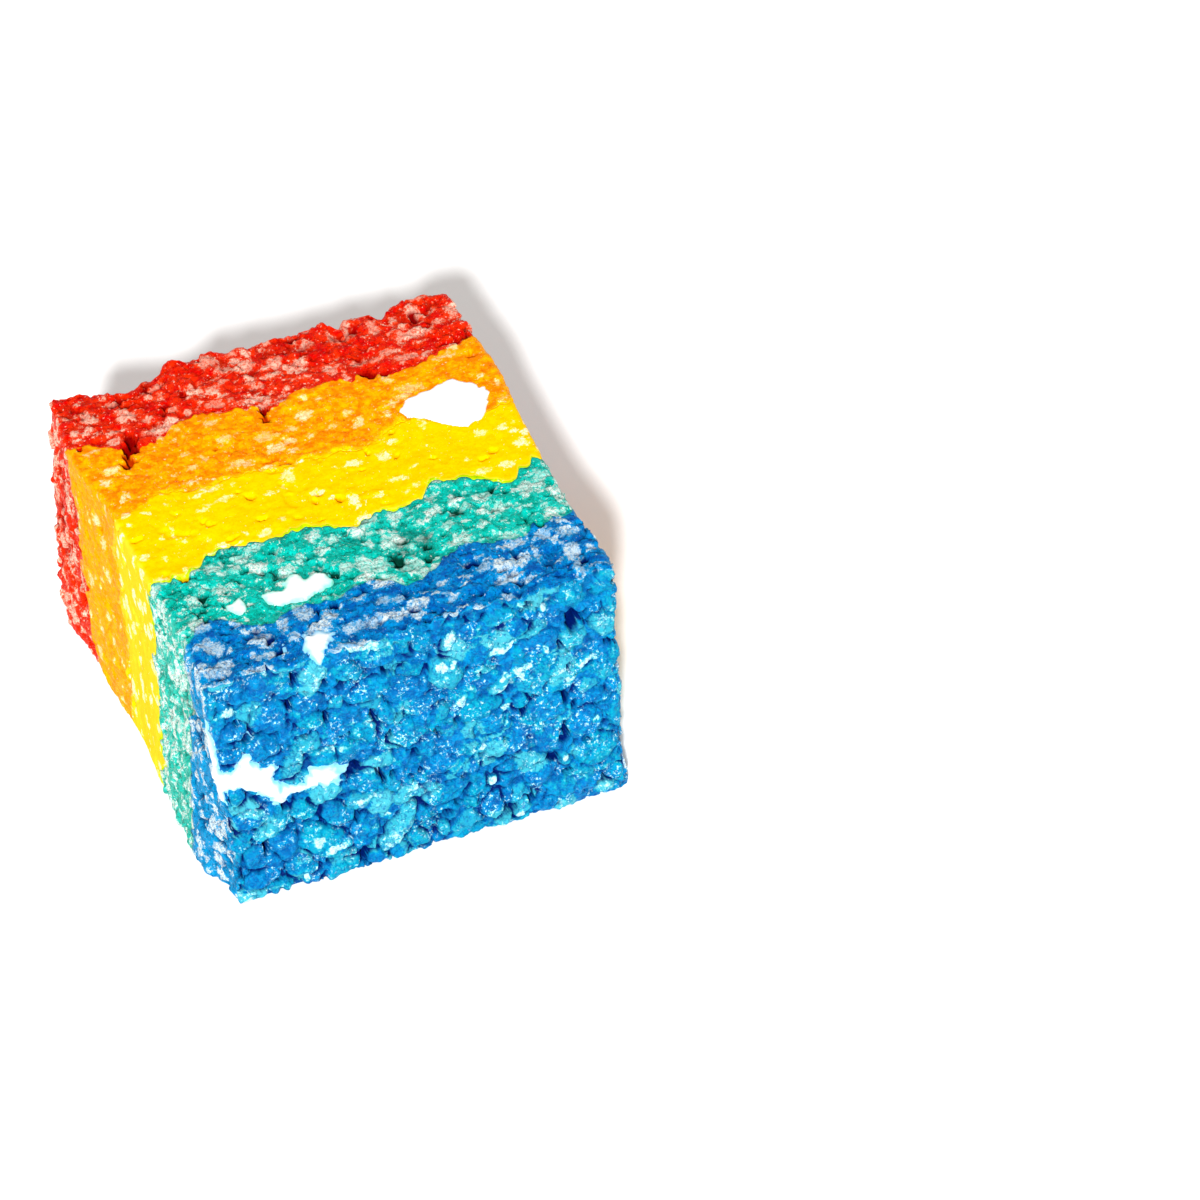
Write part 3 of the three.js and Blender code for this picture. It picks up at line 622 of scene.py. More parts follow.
# Voids between the grains of the front, read the same way: x, z, half sizes.
FRONT_VOIDS = [
    (4.9, 26.1, 1.3, 0.6), (3.3, 29.2, 0.3, 0.5), (10.5, 28.9, 0.35, 0.8), (11.2, 32.4, 0.4, 0.7),
    (12.7, 30.9, 0.35, 0.35), (14.6, 31, 0.35, 0.5), (16, 30.3, 0.7, 0.45), (22.6, 30, 0.7, 0.5),
    (19.3, 33.3, 0.45, 0.4), (11.6, 24.1, 0.45, 0.6), (14.3, 25.5, 0.35, 0.8), (15.8, 22, 0.5, 0.4),
    (20, 23.9, 0.3, 0.9), (22.7, 22.7, 0.5, 0.5), (21.5, 20.5, 0.4, 0.8), (16.3, 16.3, 0.9, 0.8),
    (9.8, 15.3, 0.7, 0.35), (7.1, 13.6, 0.6, 0.8), (8, 10.5, 0.5, 0.6), (20, 13.9, 0.35, 1.4),
    (24.6, 16.4, 0.4, 0.7), (24.3, 8.5, 0.6, 0.5), (16.3, 8.8, 0.4, 1.1), (4.3, 7.4, 0.3, 1.2),
    (12.2, 3.3, 0.6, 0.7), (5.5, 2.5, 0.35, 0.4), (16.5, 2.4, 0.35, 1.1), (0.8, 3.3, 0.4, 0.4),
    (23.2, 4.9, 0.9, 0.35), (41, 34.1, 0.5, 0.6), (46.3, 29.3, 0.9, 1.5), (47.2, 30.2, 0.9, 0.5),
    (44.5, 26.3, 0.35, 0.6), (50.1, 24.6, 0.45, 0.6), (45.3, 22.7, 0.5, 0.9), (51.9, 19.4, 0.7, 0.5),
    (27.8, 19.1, 0.45, 0.4), (30.4, 19.1, 0.35, 0.5), (28.1, 17.1, 0.35, 0.4), (28.8, 17.5, 0.25, 0.35),
    (39, 17.4, 0.35, 0.8), (44.6, 17.8, 0.35, 1.3), (45.6, 16.4, 0.4, 0.5), (36.2, 14.1, 0.4, 0.35),
    (44.5, 12.5, 0.35, 0.9), (24.6, 12.7, 0.7, 0.5), (42.4, 8.6, 0.9, 0.6), (30.4, 9.7, 0.5, 0.35),
    (44, 5.8, 0.7, 0.4), (39.3, 6, 0.5, 0.3), (26.8, 4.5, 0.9, 0.4), (28, 5.1, 0.8, 0.4),
    (29.5, 6.1, 0.7, 0.4), (38.8, 3.9, 0.4, 1), (36, 3, 0.7, 0.5), (32.1, 2.2, 1.1, 0.3),
    (49, 2.4, 1, 0.5), (47, 9.7, 0.6, 0.3), (21.6, 13.8, 0.5, 0.6), (35.1, 2.4, 0.35, 0.35),
]
# Patches of the front where the syrup has dried pale, read the same way: x, z, half sizes.
FRONT_PALE = [
    (28.9, 28.9, 0.8, 0.8), (30.3, 28.7, 0.6, 0.5), (35.7, 28.1, 0.8, 0.6), (36.9, 28.6, 1, 0.7),
    (38.2, 28.9, 1, 0.5), (37, 23.5, 1, 0.6), (38.5, 24, 1.1, 0.7), (39.9, 24.5, 1, 0.6),
    (36.7, 21.6, 0.7, 0.6), (37.8, 22.3, 0.9, 0.6), (38.9, 22.9, 0.8, 0.6),
    (18.6, 36, 2.4, 1.1), (21.4, 35.4, 1.6, 0.5),
    (6, 35.9, 0.9, 0.9), (7.7, 35.5, 1.1, 1), (1, 36.1, 1.2, 0.6), (2.7, 30.8, 1, 0.8),
    (5.7, 30.7, 1.2, 0.5), (19, 23.3, 0.9, 0.6), (11, 7.1, 0.9, 1.2), (13.5, 5.5, 1.4, 0.6),
    (19.1, 6.4, 1, 0.8), (20.2, 7.7, 0.7, 0.5), (0.4, 8.5, 0.5, 0.6), (9, 1.6, 0.5, 1),
    (1.3, 0.8, 0.8, 0.4), (16.9, 11.3, 0.6, 0.8), (23.8, 10.8, 1, 0.5), (13, 20.6, 3, 0.9),
    (17.5, 20.2, 2, 0.8), (42.7, 26.4, 0.6, 0.8), (43.4, 33.3, 1, 1.2), (47.9, 13, 0.6, 0.7),
    (47.6, 22.8, 0.8, 0.6), (34, 8, 1, 0.7), (31.2, 22.3, 0.7, 0.8), (30.4, 32, 0.6, 1.1),
    (36.6, 18.9, 0.6, 0.5), (36.2, 16.8, 0.4, 0.8), (33.6, 13.7, 0.6, 0.5), (36.8, 1.6, 0.9, 0.6),
    (44, 8.6, 0.6, 0.8), (25.6, 26.9, 0.5, 0.5), (38.3, 36.6, 0.8, 0.5), (45.6, 20.6, 0.9, 0.5),
]


def set_front_grains(place, pads, crumbs, number, crease, paleness):
    """Sets the listed grains, domes with a moat round each, into the front's bed of grains."""
    moat = 0.12
    for x, z, long, wide, turn, rise, pale in FRONT_GRAINS:
        along_grain = (place[:, 0] - x) * math.cos(turn) + (place[:, 2] - z) * math.sin(turn)
        across_grain = (place[:, 2] - z) * math.cos(turn) - (place[:, 0] - x) * math.sin(turn)
        away = oval(along_grain, across_grain, long, wide)
        dome = rise - (1 - np.sqrt(np.maximum(1 - away ** 3, 0)))
        dome = np.where(away < 1, dome, -FAR)
        on_grain = dome > pads
        crumbs = np.where(away < 1, -FAR, crumbs)
        number = np.where(on_grain, pale, number)
        ring = 1 - rising(np.abs(away - 1) * wide, 0.05, 0.32)
        crease = np.where(on_grain, ring, np.maximum(crease, ring))
        paleness = np.where(on_grain, 0.4 * paleness + 1.3 * (pale - 0.4), paleness)
        pads = np.maximum(np.where(away < 1 + moat, pads - 0.6 * (1 + moat - away) / moat, pads), dome)
    return pads, crumbs, number, crease, paleness


def mark_front(place, level, paleness):
    """Sinks the listed voids into the front and whitens its pale patches, in the two arrays given."""
    for x, z, reach_x, reach_z in FRONT_VOIDS:
        away = oval(place[:, 0] - x, place[:, 2] - z, reach_x, reach_z)
        level -= 2.4 * (1 - rising(away, 0.7, 1.2))
    for x, z, reach_x, reach_z in FRONT_PALE:
        away = oval(place[:, 0] - x, place[:, 2] - z, reach_x, reach_z)
        paleness += 1.35 * (1 - rising(away, 0.5, 1.1))


def pressed_face(body, front):
    """How far a pressed face stands out, how pale it is there, how much shade is painted in its
    voids and creases, and its grain's number.
    """
    outward, wall = (-1, 0.0) if front else (1, DEPTH)
    place = body.copy()
    place[:, 1] = wall
    place = stirred(stirred(place, 0.5, 2.2, 60), 0.25, 0.8, 64)
    place[:, 1] = wall
    # The grains stand apart at the back and low on the left of the front, and are fused elsewhere.
    apart = 1 - rising(0.6 * body[:, 0] + body[:, 2], 22, 40) if front else 0.7
    pads, number, crease = grain_tops(GRAINS, place, outward, wall, 0.25, 0.3 if front else 0.5)
    crumbs, crumb_number, _ = grain_tops(CRUMBS, place, outward, wall, 0.1, 0.4)
    crumbs += 0.5 * cloud(place, 4.0, 27) - 0.2
    paleness = 0.7 * cloud(body, 1.7, 26) + 0.5 * cloud(body, 0.7, 30) + 0.5 * (number - 0.5)
    if front:
        bed = set_front_grains(place, pads, crumbs, number, crease, paleness)
        pads, crumbs, number, crease, paleness = bed
    patch = cloud(place, 5.0, 21) + 0.5 * cloud(place, 2.0, 22)
    syrup = -0.45 - 0.15 * apart + 0.5 * rising(patch, -0.4, 0.7) + 0.25 * cloud(place, 1.1, 23)
    syrup -= 1.4 * rising(cloud(place, 2.2, 28) + 0.4 * cloud(place, 1.0, 29), 0.75, 1.0)
    # The surface is the highest of grains, crumbs and syrup, with soft joins between them.
    softness = 0.1
    level = softness * np.log(sum(
        np.exp(np.clip(height / softness, -60, 60)) for height in (pads, crumbs, syrup)))
    if front:
        mark_front(place, level, paleness)
    between = np.maximum(crumbs, syrup)
    number = np.where(pads > between - 0.05, number, 0.1 + 0.15 * (crumb_number > 0.6))
    crease *= rising(pads - between, -0.5, 0.0) * rising(cloud(place, 1.5, 31) + 0.35 * apart, -0.2, 0.4)
    level -= 0.4 * crease
    level += 0.2 * cloud(body, 0.9, 24) + 0.2 * cloud(body, 0.5, 25) + 0.15 * cloud(body, 3.0, 20)
    level -= 0.45 * bubble_holes(body)
    # Near the foot the voids grow shallow, so that the block still rests on a whole edge.
    level = np.maximum(level, -3.0 + 2.6 * (1 - rising(body[:, 2], 0.3, 2.2)))
    # Paler on the raised tops, where the syrup is thin; voids and creases lose paleness and get painted
    # shade.
    paleness += 0.3 * rising(level, -0.1, 0.5) - 0.9 * rising(-level, 0.4, 0.9) - 0.9 * crease
    painted_shade = np.clip(-level / 1.2 + 0.5 * crease, 0, 1)
    return level, paleness, painted_shade, number


# The back edge of the top, with its notches: x and then y.
BACK_EDGE = [
    [0, 60.4], [3.5, 60.2], [5, 59.9], [7, 58.8], [9.7, 57.9], [12.5, 59.3], [15.5, 61], [21, 61.2],
    [24.5, 60.2], [26, 59.7], [28.6, 61], [32.5, 60.3], [35.5, 60.6], [36.9, 58.5], [38.5, 60.3],
    [41.5, 60.3], [42.6, 58.5], [44.5, 60.2], [47, 60.9], [52, 60.3],
]
# A pressed face fades out this far along the sides. A grain is palest this far inside its skin, a
# cut side has this coat mark, which paints it lighter, partly as painted light, and the foot is
# uneven by this much.
PRESSED_REACH = 5.0
PALE_REACH = 1.6
LIT_SIDE_MARK = 0.3
FOOT_UNEVEN = 0.35


def push_pressed(body, out, shift, front):
    """Adds a pressed face to the points' shift, fading along the sides, and says how it looks."""
    depth = body[:, 1] if front else DEPTH - body[:, 1]
    near = depth < PRESSED_REACH
    level, paleness, painted_shade, number = np.zeros((4, len(body)))
    level[near], paleness[near], painted_shade[near], number[near] = pressed_face(body[near], front)
    fade = 1 - rising(depth, EDGE_RADIUS, PRESSED_REACH)
    # Round the edge of the face its voids grow shallow, so that they don't fold the sides.
    stands = np.maximum(level, -0.5 - 2.5 * rising(np.abs(out[:, 1]), 0.0, 0.5))
    if front:
        stands += FRONT_LEAN * (1 - body[:, 2] / HEIGHT)
    else:
        stands += (along(BACK_EDGE, body[:, 0]) - DEPTH) * rising(body[:, 2], 8, HEIGHT)
    shift[:, 1] = (-1 if front else 1) * stands * fade
    facing = rising(np.abs(out[:, 1]), 0.35, 0.85)
    return facing, level, paleness, painted_shade, number


def carve(piece, start, stop, front_line, back_line, look):
    """Moves a layer's small faces into its knife cuts, pressed face, grains, crevices and holes."""
    points = read_points(piece)
    share = (points[:, 1] - start) / (stop - start)
    low = layer_end(front_line, points[:, 0], points[:, 2]) if front_line else 0.0
    high = layer_end(back_line, points[:, 0], points[:, 2]) if back_line else DEPTH
    square = points.copy()
    square[:, 1] = low + (high - low) * share
    body, out = rounded(square)
    from_front = share * (high - low) if front_line else DEPTH
    from_back = (1 - share) * (high - low) if back_line else DEPTH
    seam = 1 - rising(np.minimum(from_front, from_back), 0.1, 1.1)

    cut, inside, number = cut_face(body, out, look, seam)
    shift = out * cut[:, None]
    shift[:, 1] = 0
    pale = np.clip(0.5 + inside / PALE_REACH, 0, 1)
    # The deep mark is painted shade: the further a point lies below the cut, the darker it is painted. For
    # the green, the dark line at its seams is added to it.
    deep = np.clip(-cut - 0.1, 0, 1) + look["seam_stain"] * rising(seam, 0.75, 1.0)
    # A cut side gets a small coat mark, with which the material paints it lighter, partly as painted
    # light.
    coat = LIT_SIDE_MARK * rising(np.abs(out[:, 0]), 0.3, 0.8)
    if look["mixes_in"]:
        from_seam = from_front / look["mixes_in"] + 0.2 + 0.6 * cloud(body, 1.8, 33)
        coat = np.maximum(coat, 1 - rising(from_seam, 0.2, 1.0))
    if not front_line or not back_line:
        facing, level, paleness, painted_shade, pad_number = push_pressed(body, out, shift, not front_line)
        pale = pale * (1 - facing) + np.clip(0.42 + paleness * 0.4, 0, 1) * facing
        deep = deep * (1 - facing) + painted_shade * facing
        number = number * (1 - facing) + pad_number * facing
        coat = np.maximum(coat, facing)
    moved = leaned(body + shift)
    foot = body[:, 2] < 0.05
    moved[foot, 2] = np.minimum(moved[foot, 2], FOOT_UNEVEN)
    write_points(piece, moved, pale, deep, number, coat)


def srgb(red, green, blue):
    """A colour of 0 to 255 as it shows, as the linear values that a shader takes."""
    values = [value / 255 for value in (red, green, blue)]
    return [v / 12.92 if v <= 0.04045 else ((v + 0.055) / 1.055) ** 2.4 for v in values] + [1.0]


class Recipe:
    """A material under construction, with one short call for each kind of node it needs."""

    def __init__(self, name):
        self.material = bpy.data.materials.new(name)
        self.material.use_nodes = True
        self.nodes = self.material.node_tree.nodes
        self.links = self.material.node_tree.links
        self.shader = self.nodes["Principled BSDF"]
        self.place = self.nodes.new("ShaderNodeTexCoord").outputs["Object"]
        marks = self.nodes.new("ShaderNodeAttribute")
        marks.attribute_name = "rice"
        parts = self.nodes.new("ShaderNodeSeparateColor")
        self.links.new(marks.outputs["Color"], parts.inputs["Color"])
        self.pale, self.deep, self.number = parts.outputs
        self.coat = marks.outputs["Alpha"]

    def noise(self, size_mm, detail=3.0, rough=0.55):
        """Cloudy values about 0.5 that change over about the size."""
        node = self.nodes.new("ShaderNodeTexNoise")
        node.inputs["Scale"].default_value = 1000 / size_mm
        node.inputs["Detail"].default_value = detail
        node.inputs["Roughness"].default_value = rough
        self.links.new(self.place, node.inputs["Vector"])
        return node.outputs["Fac"]

    def veins(self, size_mm, width):
        """1 along thin winding lines, about as far apart as the size, and 0 elsewhere."""
        offset = self.math("ABSOLUTE", self.math("SUBTRACT", self.noise(size_mm, 3.0, 0.6), 0.5), 0.0)
        return self.spread(offset, 0.3 * width, width, 1.0, 0.0)

    def spread(self, value, low, high, out_low=0.0, out_high=1.0):
        """The value, with low to high stretched to out_low to out_high and held level beyond them."""
        node = self.nodes.new("ShaderNodeMapRange")
        node.inputs["From Min"].default_value = low
        node.inputs["From Max"].default_value = high
        node.inputs["To Min"].default_value = out_low
        node.inputs["To Max"].default_value = out_high
        self.links.new(value, node.inputs["Value"])
        return node.outputs["Result"]

    def math(self, kind, first, second):
        """Two values, or a value and a plain number, added, multiplied or compared."""
        node = self.nodes.new("ShaderNodeMath")
        node.operation = kind
        for socket, value in zip(node.inputs, (first, second)):
            if isinstance(value, float):
                socket.default_value = value
            else:
                self.links.new(value, socket)
        return node.outputs["Value"]

    def blend(self, share, first, second):
        """The first colour where the share is 0, the second where it is 1, and a mix between."""
        node = self.nodes.new("ShaderNodeMix")
        node.data_type = "RGBA"
        self.links.new(share, node.inputs[0])
        for socket, value in ((node.inputs[6], first), (node.inputs[7], second)):
            if isinstance(value, list):
                socket.default_value = value
            else:
                self.links.new(value, socket)
        return node.outputs[2]

    def bump(self, height, strength, distance_mm):
        """Small relief that only the light sees."""
        node = self.nodes.new("ShaderNodeBump")
        node.inputs["Strength"].default_value = strength
        node.inputs["Distance"].default_value = distance_mm * MM
        self.links.new(height, node.inputs["Height"])
        self.links.new(node.outputs["Normal"], self.shader.inputs["Normal"])

    def soften(self, share, reach_mm):
        """Lets a share of the light travel inside the surface, about as far as the reach."""
        self.shader.inputs["Subsurface Weight"].default_value = share
        self.shader.inputs["Subsurface Radius"].default_value = (reach_mm, reach_mm, reach_mm)
        self.shader.inputs["Subsurface Scale"].default_value = MM


def cut_rice(mix, look, patchy):
    """The colour where the knife cut, grain showing pale in coloured syrup, and how pale it is."""
    ragged = mix.math("ADD", mix.pale, mix.spread(mix.noise(0.5, 6.0, 0.75), 0.3, 0.7, -0.3, 0.3))
    syrup = mix.blend(patchy, look["main"], look["other"])
    # Pores: small dark spots in the deep colour, painted shade of tiny holes.
    pores = mix.spread(mix.noise(0.4, 4.0, 0.7), 0.36, 0.42, look["pores"], 0.0)
    # On the cut sides the syrup turns to the lighter side colour, partly as painted light.
    syrup = mix.blend(mix.spread(mix.coat, 0.0, LIT_SIDE_MARK, 0.0, 0.6), syrup, look["side"])
    syrup = mix.blend(pores, syrup, look["deep"])
    syrup = mix.blend(mix.spread(ragged, 0.3, 0.48, 0.0, 0.6), syrup, look["light"])

    # The cut grain is foam: pale specks with the syrup's colour in the lines between them.
    foam = mix.spread(mix.noise(0.32, 4.0, 0.75), 0.42, 0.5, 0.25, 1.0)
    walls = mix.math("SUBTRACT", 1.0, mix.math("MULTIPLY", mix.veins(0.9, 0.03), 0.6))
    # Pale grains are brighter on the cut sides, partly as painted light.
    bright = mix.math("ADD", mix.spread(mix.number, 0.0, 1.0, 0.4, 1.0),
                      mix.spread(mix.coat, 0.0, LIT_SIDE_MARK, 0.0, 0.4))
    pale = mix.math("MULTIPLY", mix.spread(ragged, 0.48, 0.58), mix.math("MINIMUM", bright, 1.0))
    pale = mix.math("MULTIPLY", mix.math("MULTIPLY", pale, foam), walls)
    # Pale specks of crumb, which in part also stand in for glints, as painted highlights.
    speckle = mix.noise(0.4, 3.0, 0.7)
    flecks = mix.spread(speckle, look["flecks_from"], look["flecks_from"] + 0.04, 0.0, 0.9)
    pale = mix.math("MAXIMUM", pale, flecks)
    cut = mix.blend(pale, syrup, look["pale"])
    # Thin winding cracks are painted in the deep colour too, as painted shade.
    return mix.blend(mix.math("MULTIPLY", mix.veins(1.5, 0.02), look["pores"]), cut, look["deep"]), pale


def coated_rice(mix, look, patchy, shaded_creases):
    """The colour of a pressed face, which keeps its syrup, thin and pale on the tops of some grains,
    with painted shade in its creases and pores.
    """
    thin = mix.math("ADD", mix.pale, mix.spread(mix.noise(0.7, 5.0, 0.7), 0.3, 0.7, -0.28, 0.28))
    pressed = mix.blend(patchy, look["coat_main"], look["coat_other"])
    pressed = mix.blend(mix.spread(mix.number, 0.25, 0.8, 0.0, 0.9), pressed, look["coat_light"])
    pressed = mix.blend(mix.spread(thin, 0.5, 0.75), pressed, look["coat_light"])
    pressed = mix.blend(mix.spread(mix.number, 0.55, 0.95, 0.0, 0.5), pressed, look["coat_cream"])
    pressed = mix.blend(mix.spread(thin, 0.75, 0.9, 0.0, 0.3), pressed, look["coat_pale"])
    pressed = mix.blend(mix.spread(thin, 0.85, 1.0), pressed, look["coat_pale"])
    # White specks in patches: partly the syrup's own pale specks, partly painted glints.
    frost_and_glints = mix.math("MULTIPLY", mix.spread(mix.noise(0.45, 4.0, 0.75), 0.56, 0.61),
                     mix.spread(mix.noise(2.6, 2.0), 0.5, 0.58, 0.03, 1.0))
    pressed = mix.blend(frost_and_glints, pressed, look["coat_pale"])
    # Dark pore spots in the coat's deep colour, painted shade of tiny holes.
    pore_shade = mix.spread(mix.noise(0.6, 5.0, 0.7), 0.36, 0.45, look["pores"], 0.0)
    return mix.blend(mix.math("MAXIMUM", pore_shade, shaded_creases), pressed, look["coat_deep"])


def rice_material(name, look):
    """Puffed rice in coloured syrup, cut or coated, with painted shade in the crevices, glossy where wet.
    """
    mix = Recipe(name)
    patchy = mix.spread(mix.noise(1.3, 5.0, 0.7), 0.42, 0.58)
    # Thin crease lines, painted dark in the coat as painted shade, and also pressed into the bump.
    shaded_creases = mix.math("MULTIPLY", mix.veins(1.6, 0.015), 0.6)
    coated = mix.spread(mix.coat, LIT_SIDE_MARK + 0.05, 0.75)
    surface, pale = cut_rice(mix, look, patchy)
    if "coat_main" in look:
        surface = mix.blend(coated, surface, coated_rice(mix, look, patchy, shaded_creases))
    # Painted shade: where the deep mark is high, in crevices, pits and holes, the colour goes to the deep
    # colour.
    dark = mix.blend(mix.spread(mix.deep, 0.15, 0.75), surface, look["deep"])
    mix.links.new(dark, mix.shader.inputs["Base Color"])

    rough = mix.math("ADD", mix.spread(pale, 0.1, 0.7, look["gloss"], 0.5),
                     mix.spread(mix.noise(1.1, 3.0), 0.42, 0.58, -0.04, 0.25))
    dull = mix.math("MULTIPLY", mix.coat, mix.spread(mix.noise(2.2, 3.0), 0.47, 0.56, 0.22, -0.02))
    mix.links.new(mix.math("ADD", rough, dull), mix.shader.inputs["Roughness"])
    mix.shader.inputs["Specular IOR Level"].default_value = look["reflects"]
    mix.shader.inputs["Specular Tint"].default_value = look["shine"]
    mix.soften(0.04, 0.5)
    cut_grit = mix.math("MULTIPLY", mix.noise(0.6, 6.0, 0.8), mix.math("SUBTRACT", 1.0, coated))
    coat_grit = mix.math("MULTIPLY", mix.noise(1.5, 4.0, 0.68), coated)
    grit = mix.math("SUBTRACT", mix.math("ADD", cut_grit, coat_grit), mix.math("MULTIPLY", shaded_creases, 0.15))
    mix.bump(grit, look["grit"], 0.6)
    return mix.material


def finish_piece(piece, node, material):
    """Gives the piece its material, puts it under the root body, and hides the imported part of that node.
    """
    piece.data.materials.append(material)
    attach(piece, "root")
    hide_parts(node)


def rice_layer(colour, start, stop, front_line, back_line, look):
    """One layer from y = start to y = stop, which meets its neighbours along the lines given."""
    piece = fine_block(colour + "_rice_layer", (0, start, 0), (WIDTH, stop, HEIGHT),
                       open_front=front_line is not None, open_back=back_line is not None)
    carve(piece, start, stop, front_line, back_line, look)
    material = rice_material(colour + "_rice_and_syrup", look)
    finish_piece(piece, "layer_" + colour, material)


# Where the blue layer ends on the top: x and then y.
BLUE_END = [
    [0, 9.2], [4, 11.2], [12, 8.9], [18, 9.3], [24, 10.7],
    [28.6, 8], [35.6, 11.6], [44, 10.9], [52, 12.2],
]
# The colours of the cut rice, those of the coated front, how the light falls on it, which shares of
# its grains are pale, and how deep its crevices and holes are in mm. The deep colours are painted
# shade, and the side colours and shares are partly painted light on the cut sides.
BLUE_LOOK = {
    "main": srgb(0, 94, 180), "other": srgb(0, 144, 216), "light": srgb(0, 166, 224),
    "side": srgb(10, 158, 206), "pale": srgb(230, 240, 238), "deep": srgb(0, 24, 92),
    "coat_main": srgb(0, 89, 149), "coat_other": srgb(0, 121, 174), "coat_light": srgb(2, 144, 166),
    "coat_cream": srgb(84, 176, 186), "coat_pale": srgb(176, 225, 231), "coat_deep": srgb(0, 58, 142),
    "shine": (0.35, 0.75, 1.0, 1.0), "reflects": 0.08, "gloss": 0.2, "pores": 0.6, "grit": 0.9,
    "mixes_in": 0.0, "seam_stain": 0.0, "flecks_from": 0.66,
    "top_shrink": 0.0, "pale_share": 0.06, "side_pale": 0.58, "fleck_share": 0.16, "pit_share": 0.1,
    "crevice": 0.35, "hole": 0.9, "hole_start": 0.42, "torn": 0.45, "rough": 0.3,
}
rice_layer("blue", 0.0, BLUE_BACK, None, BLUE_END, BLUE_LOOK)

# Green layer
# The second layer of the slab: the same puffed rice, stirred into teal green marshmallow syrup.
# It has less syrup than the others, so the cuts show many pale grains, and it sticks to the blue.
GREEN_BACK = 22.2
GREEN_END = [
    [0, 21.3], [4.5, 20.8], [8, 22.7], [19, 22.6], [25, 21.5],
    [36, 22.6], [38.6, 24.1], [45.7, 20.8], [52, 23.4],
]
GREEN_LOOK = {
    "main": srgb(0, 175, 155), "other": srgb(0, 214, 198), "light": srgb(50, 214, 198),
    "side": srgb(50, 190, 166), "pale": srgb(240, 246, 238), "deep": srgb(0, 58, 44),
    "shine": (0.4, 1.0, 0.9, 1.0), "reflects": 0.14, "gloss": 0.2, "pores": 0.6, "grit": 0.9,
    "mixes_in": 0.0, "seam_stain": 0.35, "flecks_from": 0.63,
    "top_shrink": 0.0, "pale_share": 0.14, "side_pale": 0.64, "fleck_share": 0.37, "pit_share": 0.2,
    "crevice": 0.35, "hole": 0.9, "hole_start": 0.42, "torn": 0.45, "rough": 0.32,
}
rice_layer("green", BLUE_BACK, GREEN_BACK, BLUE_END, GREEN_END, GREEN_LOOK)

# Yellow layer
# The middle layer: puffed rice in bright yellow marshmallow syrup, so thick that it fills the rice
# almost flush with the cut. Its coat colours are for its front, where it has run into the green.
YELLOW_BACK = 35.5
YELLOW_END = [
    [0, 34.6], [5.5, 36.5], [11, 35.6], [24.4, 35.8],
    [33, 34.5], [37.8, 37.5], [45.5, 34], [52, 35.6],
]
YELLOW_LOOK = {
    "main": srgb(249, 186, 0), "other": srgb(252, 196, 0), "light": srgb(252, 197, 2),
    "side": srgb(250, 198, 50), "pale": srgb(255, 241, 200), "deep": srgb(184, 104, 0),
    "coat_main": srgb(150, 190, 0), "coat_other": srgb(176, 206, 0), "coat_light": srgb(176, 206, 0),
    "coat_cream": srgb(176, 206, 0), "coat_pale": srgb(220, 236, 170), "coat_deep": srgb(120, 150, 0),
    "shine": (1.0, 0.9, 0.15, 1.0), "reflects": 0.0, "gloss": 0.3, "pores": 0.15, "grit": 0.14,
    "mixes_in": 0.9, "seam_stain": 0.0, "flecks_from": 0.68,
    "top_shrink": 0.15, "pale_share": 0.0, "side_pale": 0.44, "fleck_share": 0.05, "pit_share": 0.2,
    "crevice": 0.03, "hole": 0.2, "hole_start": 0.58, "torn": 0.1, "rough": 0.06,
}
rice_layer("yellow", GREEN_BACK, YELLOW_BACK, GREEN_END, YELLOW_END, YELLOW_LOOK)

# Orange layer
# The fourth layer: puffed rice in orange syrup, as thick as the yellow but rougher and less even
# in colour. Its coat colours are for its front, where it has run into the yellow.
ORANGE_BACK = 48.6
ORANGE_END = [
    [0, 49.6], [4, 49.4], [7.2, 46.8], [17, 49.2],
    [24, 47.2], [28, 48.8], [44.7, 47.4], [52, 49.2],
]
ORANGE_LOOK = {
    "main": srgb(242, 124, 0), "other": srgb(251, 168, 0), "light": srgb(251, 176, 4),
    "side": srgb(250, 160, 0), "pale": srgb(254, 218, 172), "deep": srgb(176, 48, 0),
    "coat_main": srgb(250, 172, 0), "coat_other": srgb(252, 186, 0), "coat_light": srgb(252, 190, 0),
    "coat_cream": srgb(252, 190, 0), "coat_pale": srgb(250, 214, 180), "coat_deep": srgb(210, 90, 0),
    "shine": (1.0, 0.65, 0.1, 1.0), "reflects": 0.02, "gloss": 0.24, "pores": 0.35, "grit": 0.45,
    "mixes_in": 1.6, "seam_stain": 0.0, "flecks_from": 0.65,
    "top_shrink": 0.08, "pale_share": 0.0, "side_pale": 0.12, "fleck_share": 0.05, "pit_share": 0.15,
    "crevice": 0.06, "hole": 0.25, "hole_start": 0.56, "torn": 0.2, "rough": 0.22,
}
rice_layer("orange", YELLOW_BACK, ORANGE_BACK, YELLOW_END, ORANGE_END, ORANGE_LOOK)

# Red layer
# The last layer, pressed against the tin at its back: puffed rice in red marshmallow syrup. Its
# cuts show many pale pink grains, and its back has whole coated grains like the blue front.
RED_LOOK = {
    "main": srgb(224, 2, 0), "other": srgb(244, 46, 4), "light": srgb(250, 84, 34),
    "side": srgb(244, 46, 4), "pale": srgb(255, 214, 190), "deep": srgb(146, 0, 0),
    "coat_main": srgb(212, 6, 0), "coat_other": srgb(230, 34, 6), "coat_light": srgb(236, 56, 26),
    "coat_cream": srgb(240, 96, 60), "coat_pale": srgb(252, 200, 176), "coat_deep": srgb(150, 0, 0),
    "shine": (1.0, 0.4, 0.3, 1.0), "reflects": 0.1, "gloss": 0.2, "pores": 0.5, "grit": 0.9,
    "mixes_in": 0.0, "seam_stain": 0.0, "flecks_from": 0.63,
    "top_shrink": 0.06, "pale_share": 0.06, "side_pale": 0.5, "fleck_share": 0.18, "pit_share": 0.1,
    "crevice": 0.35, "hole": 1.0, "hole_start": 0.42, "torn": 0.55, "rough": 0.34,
}
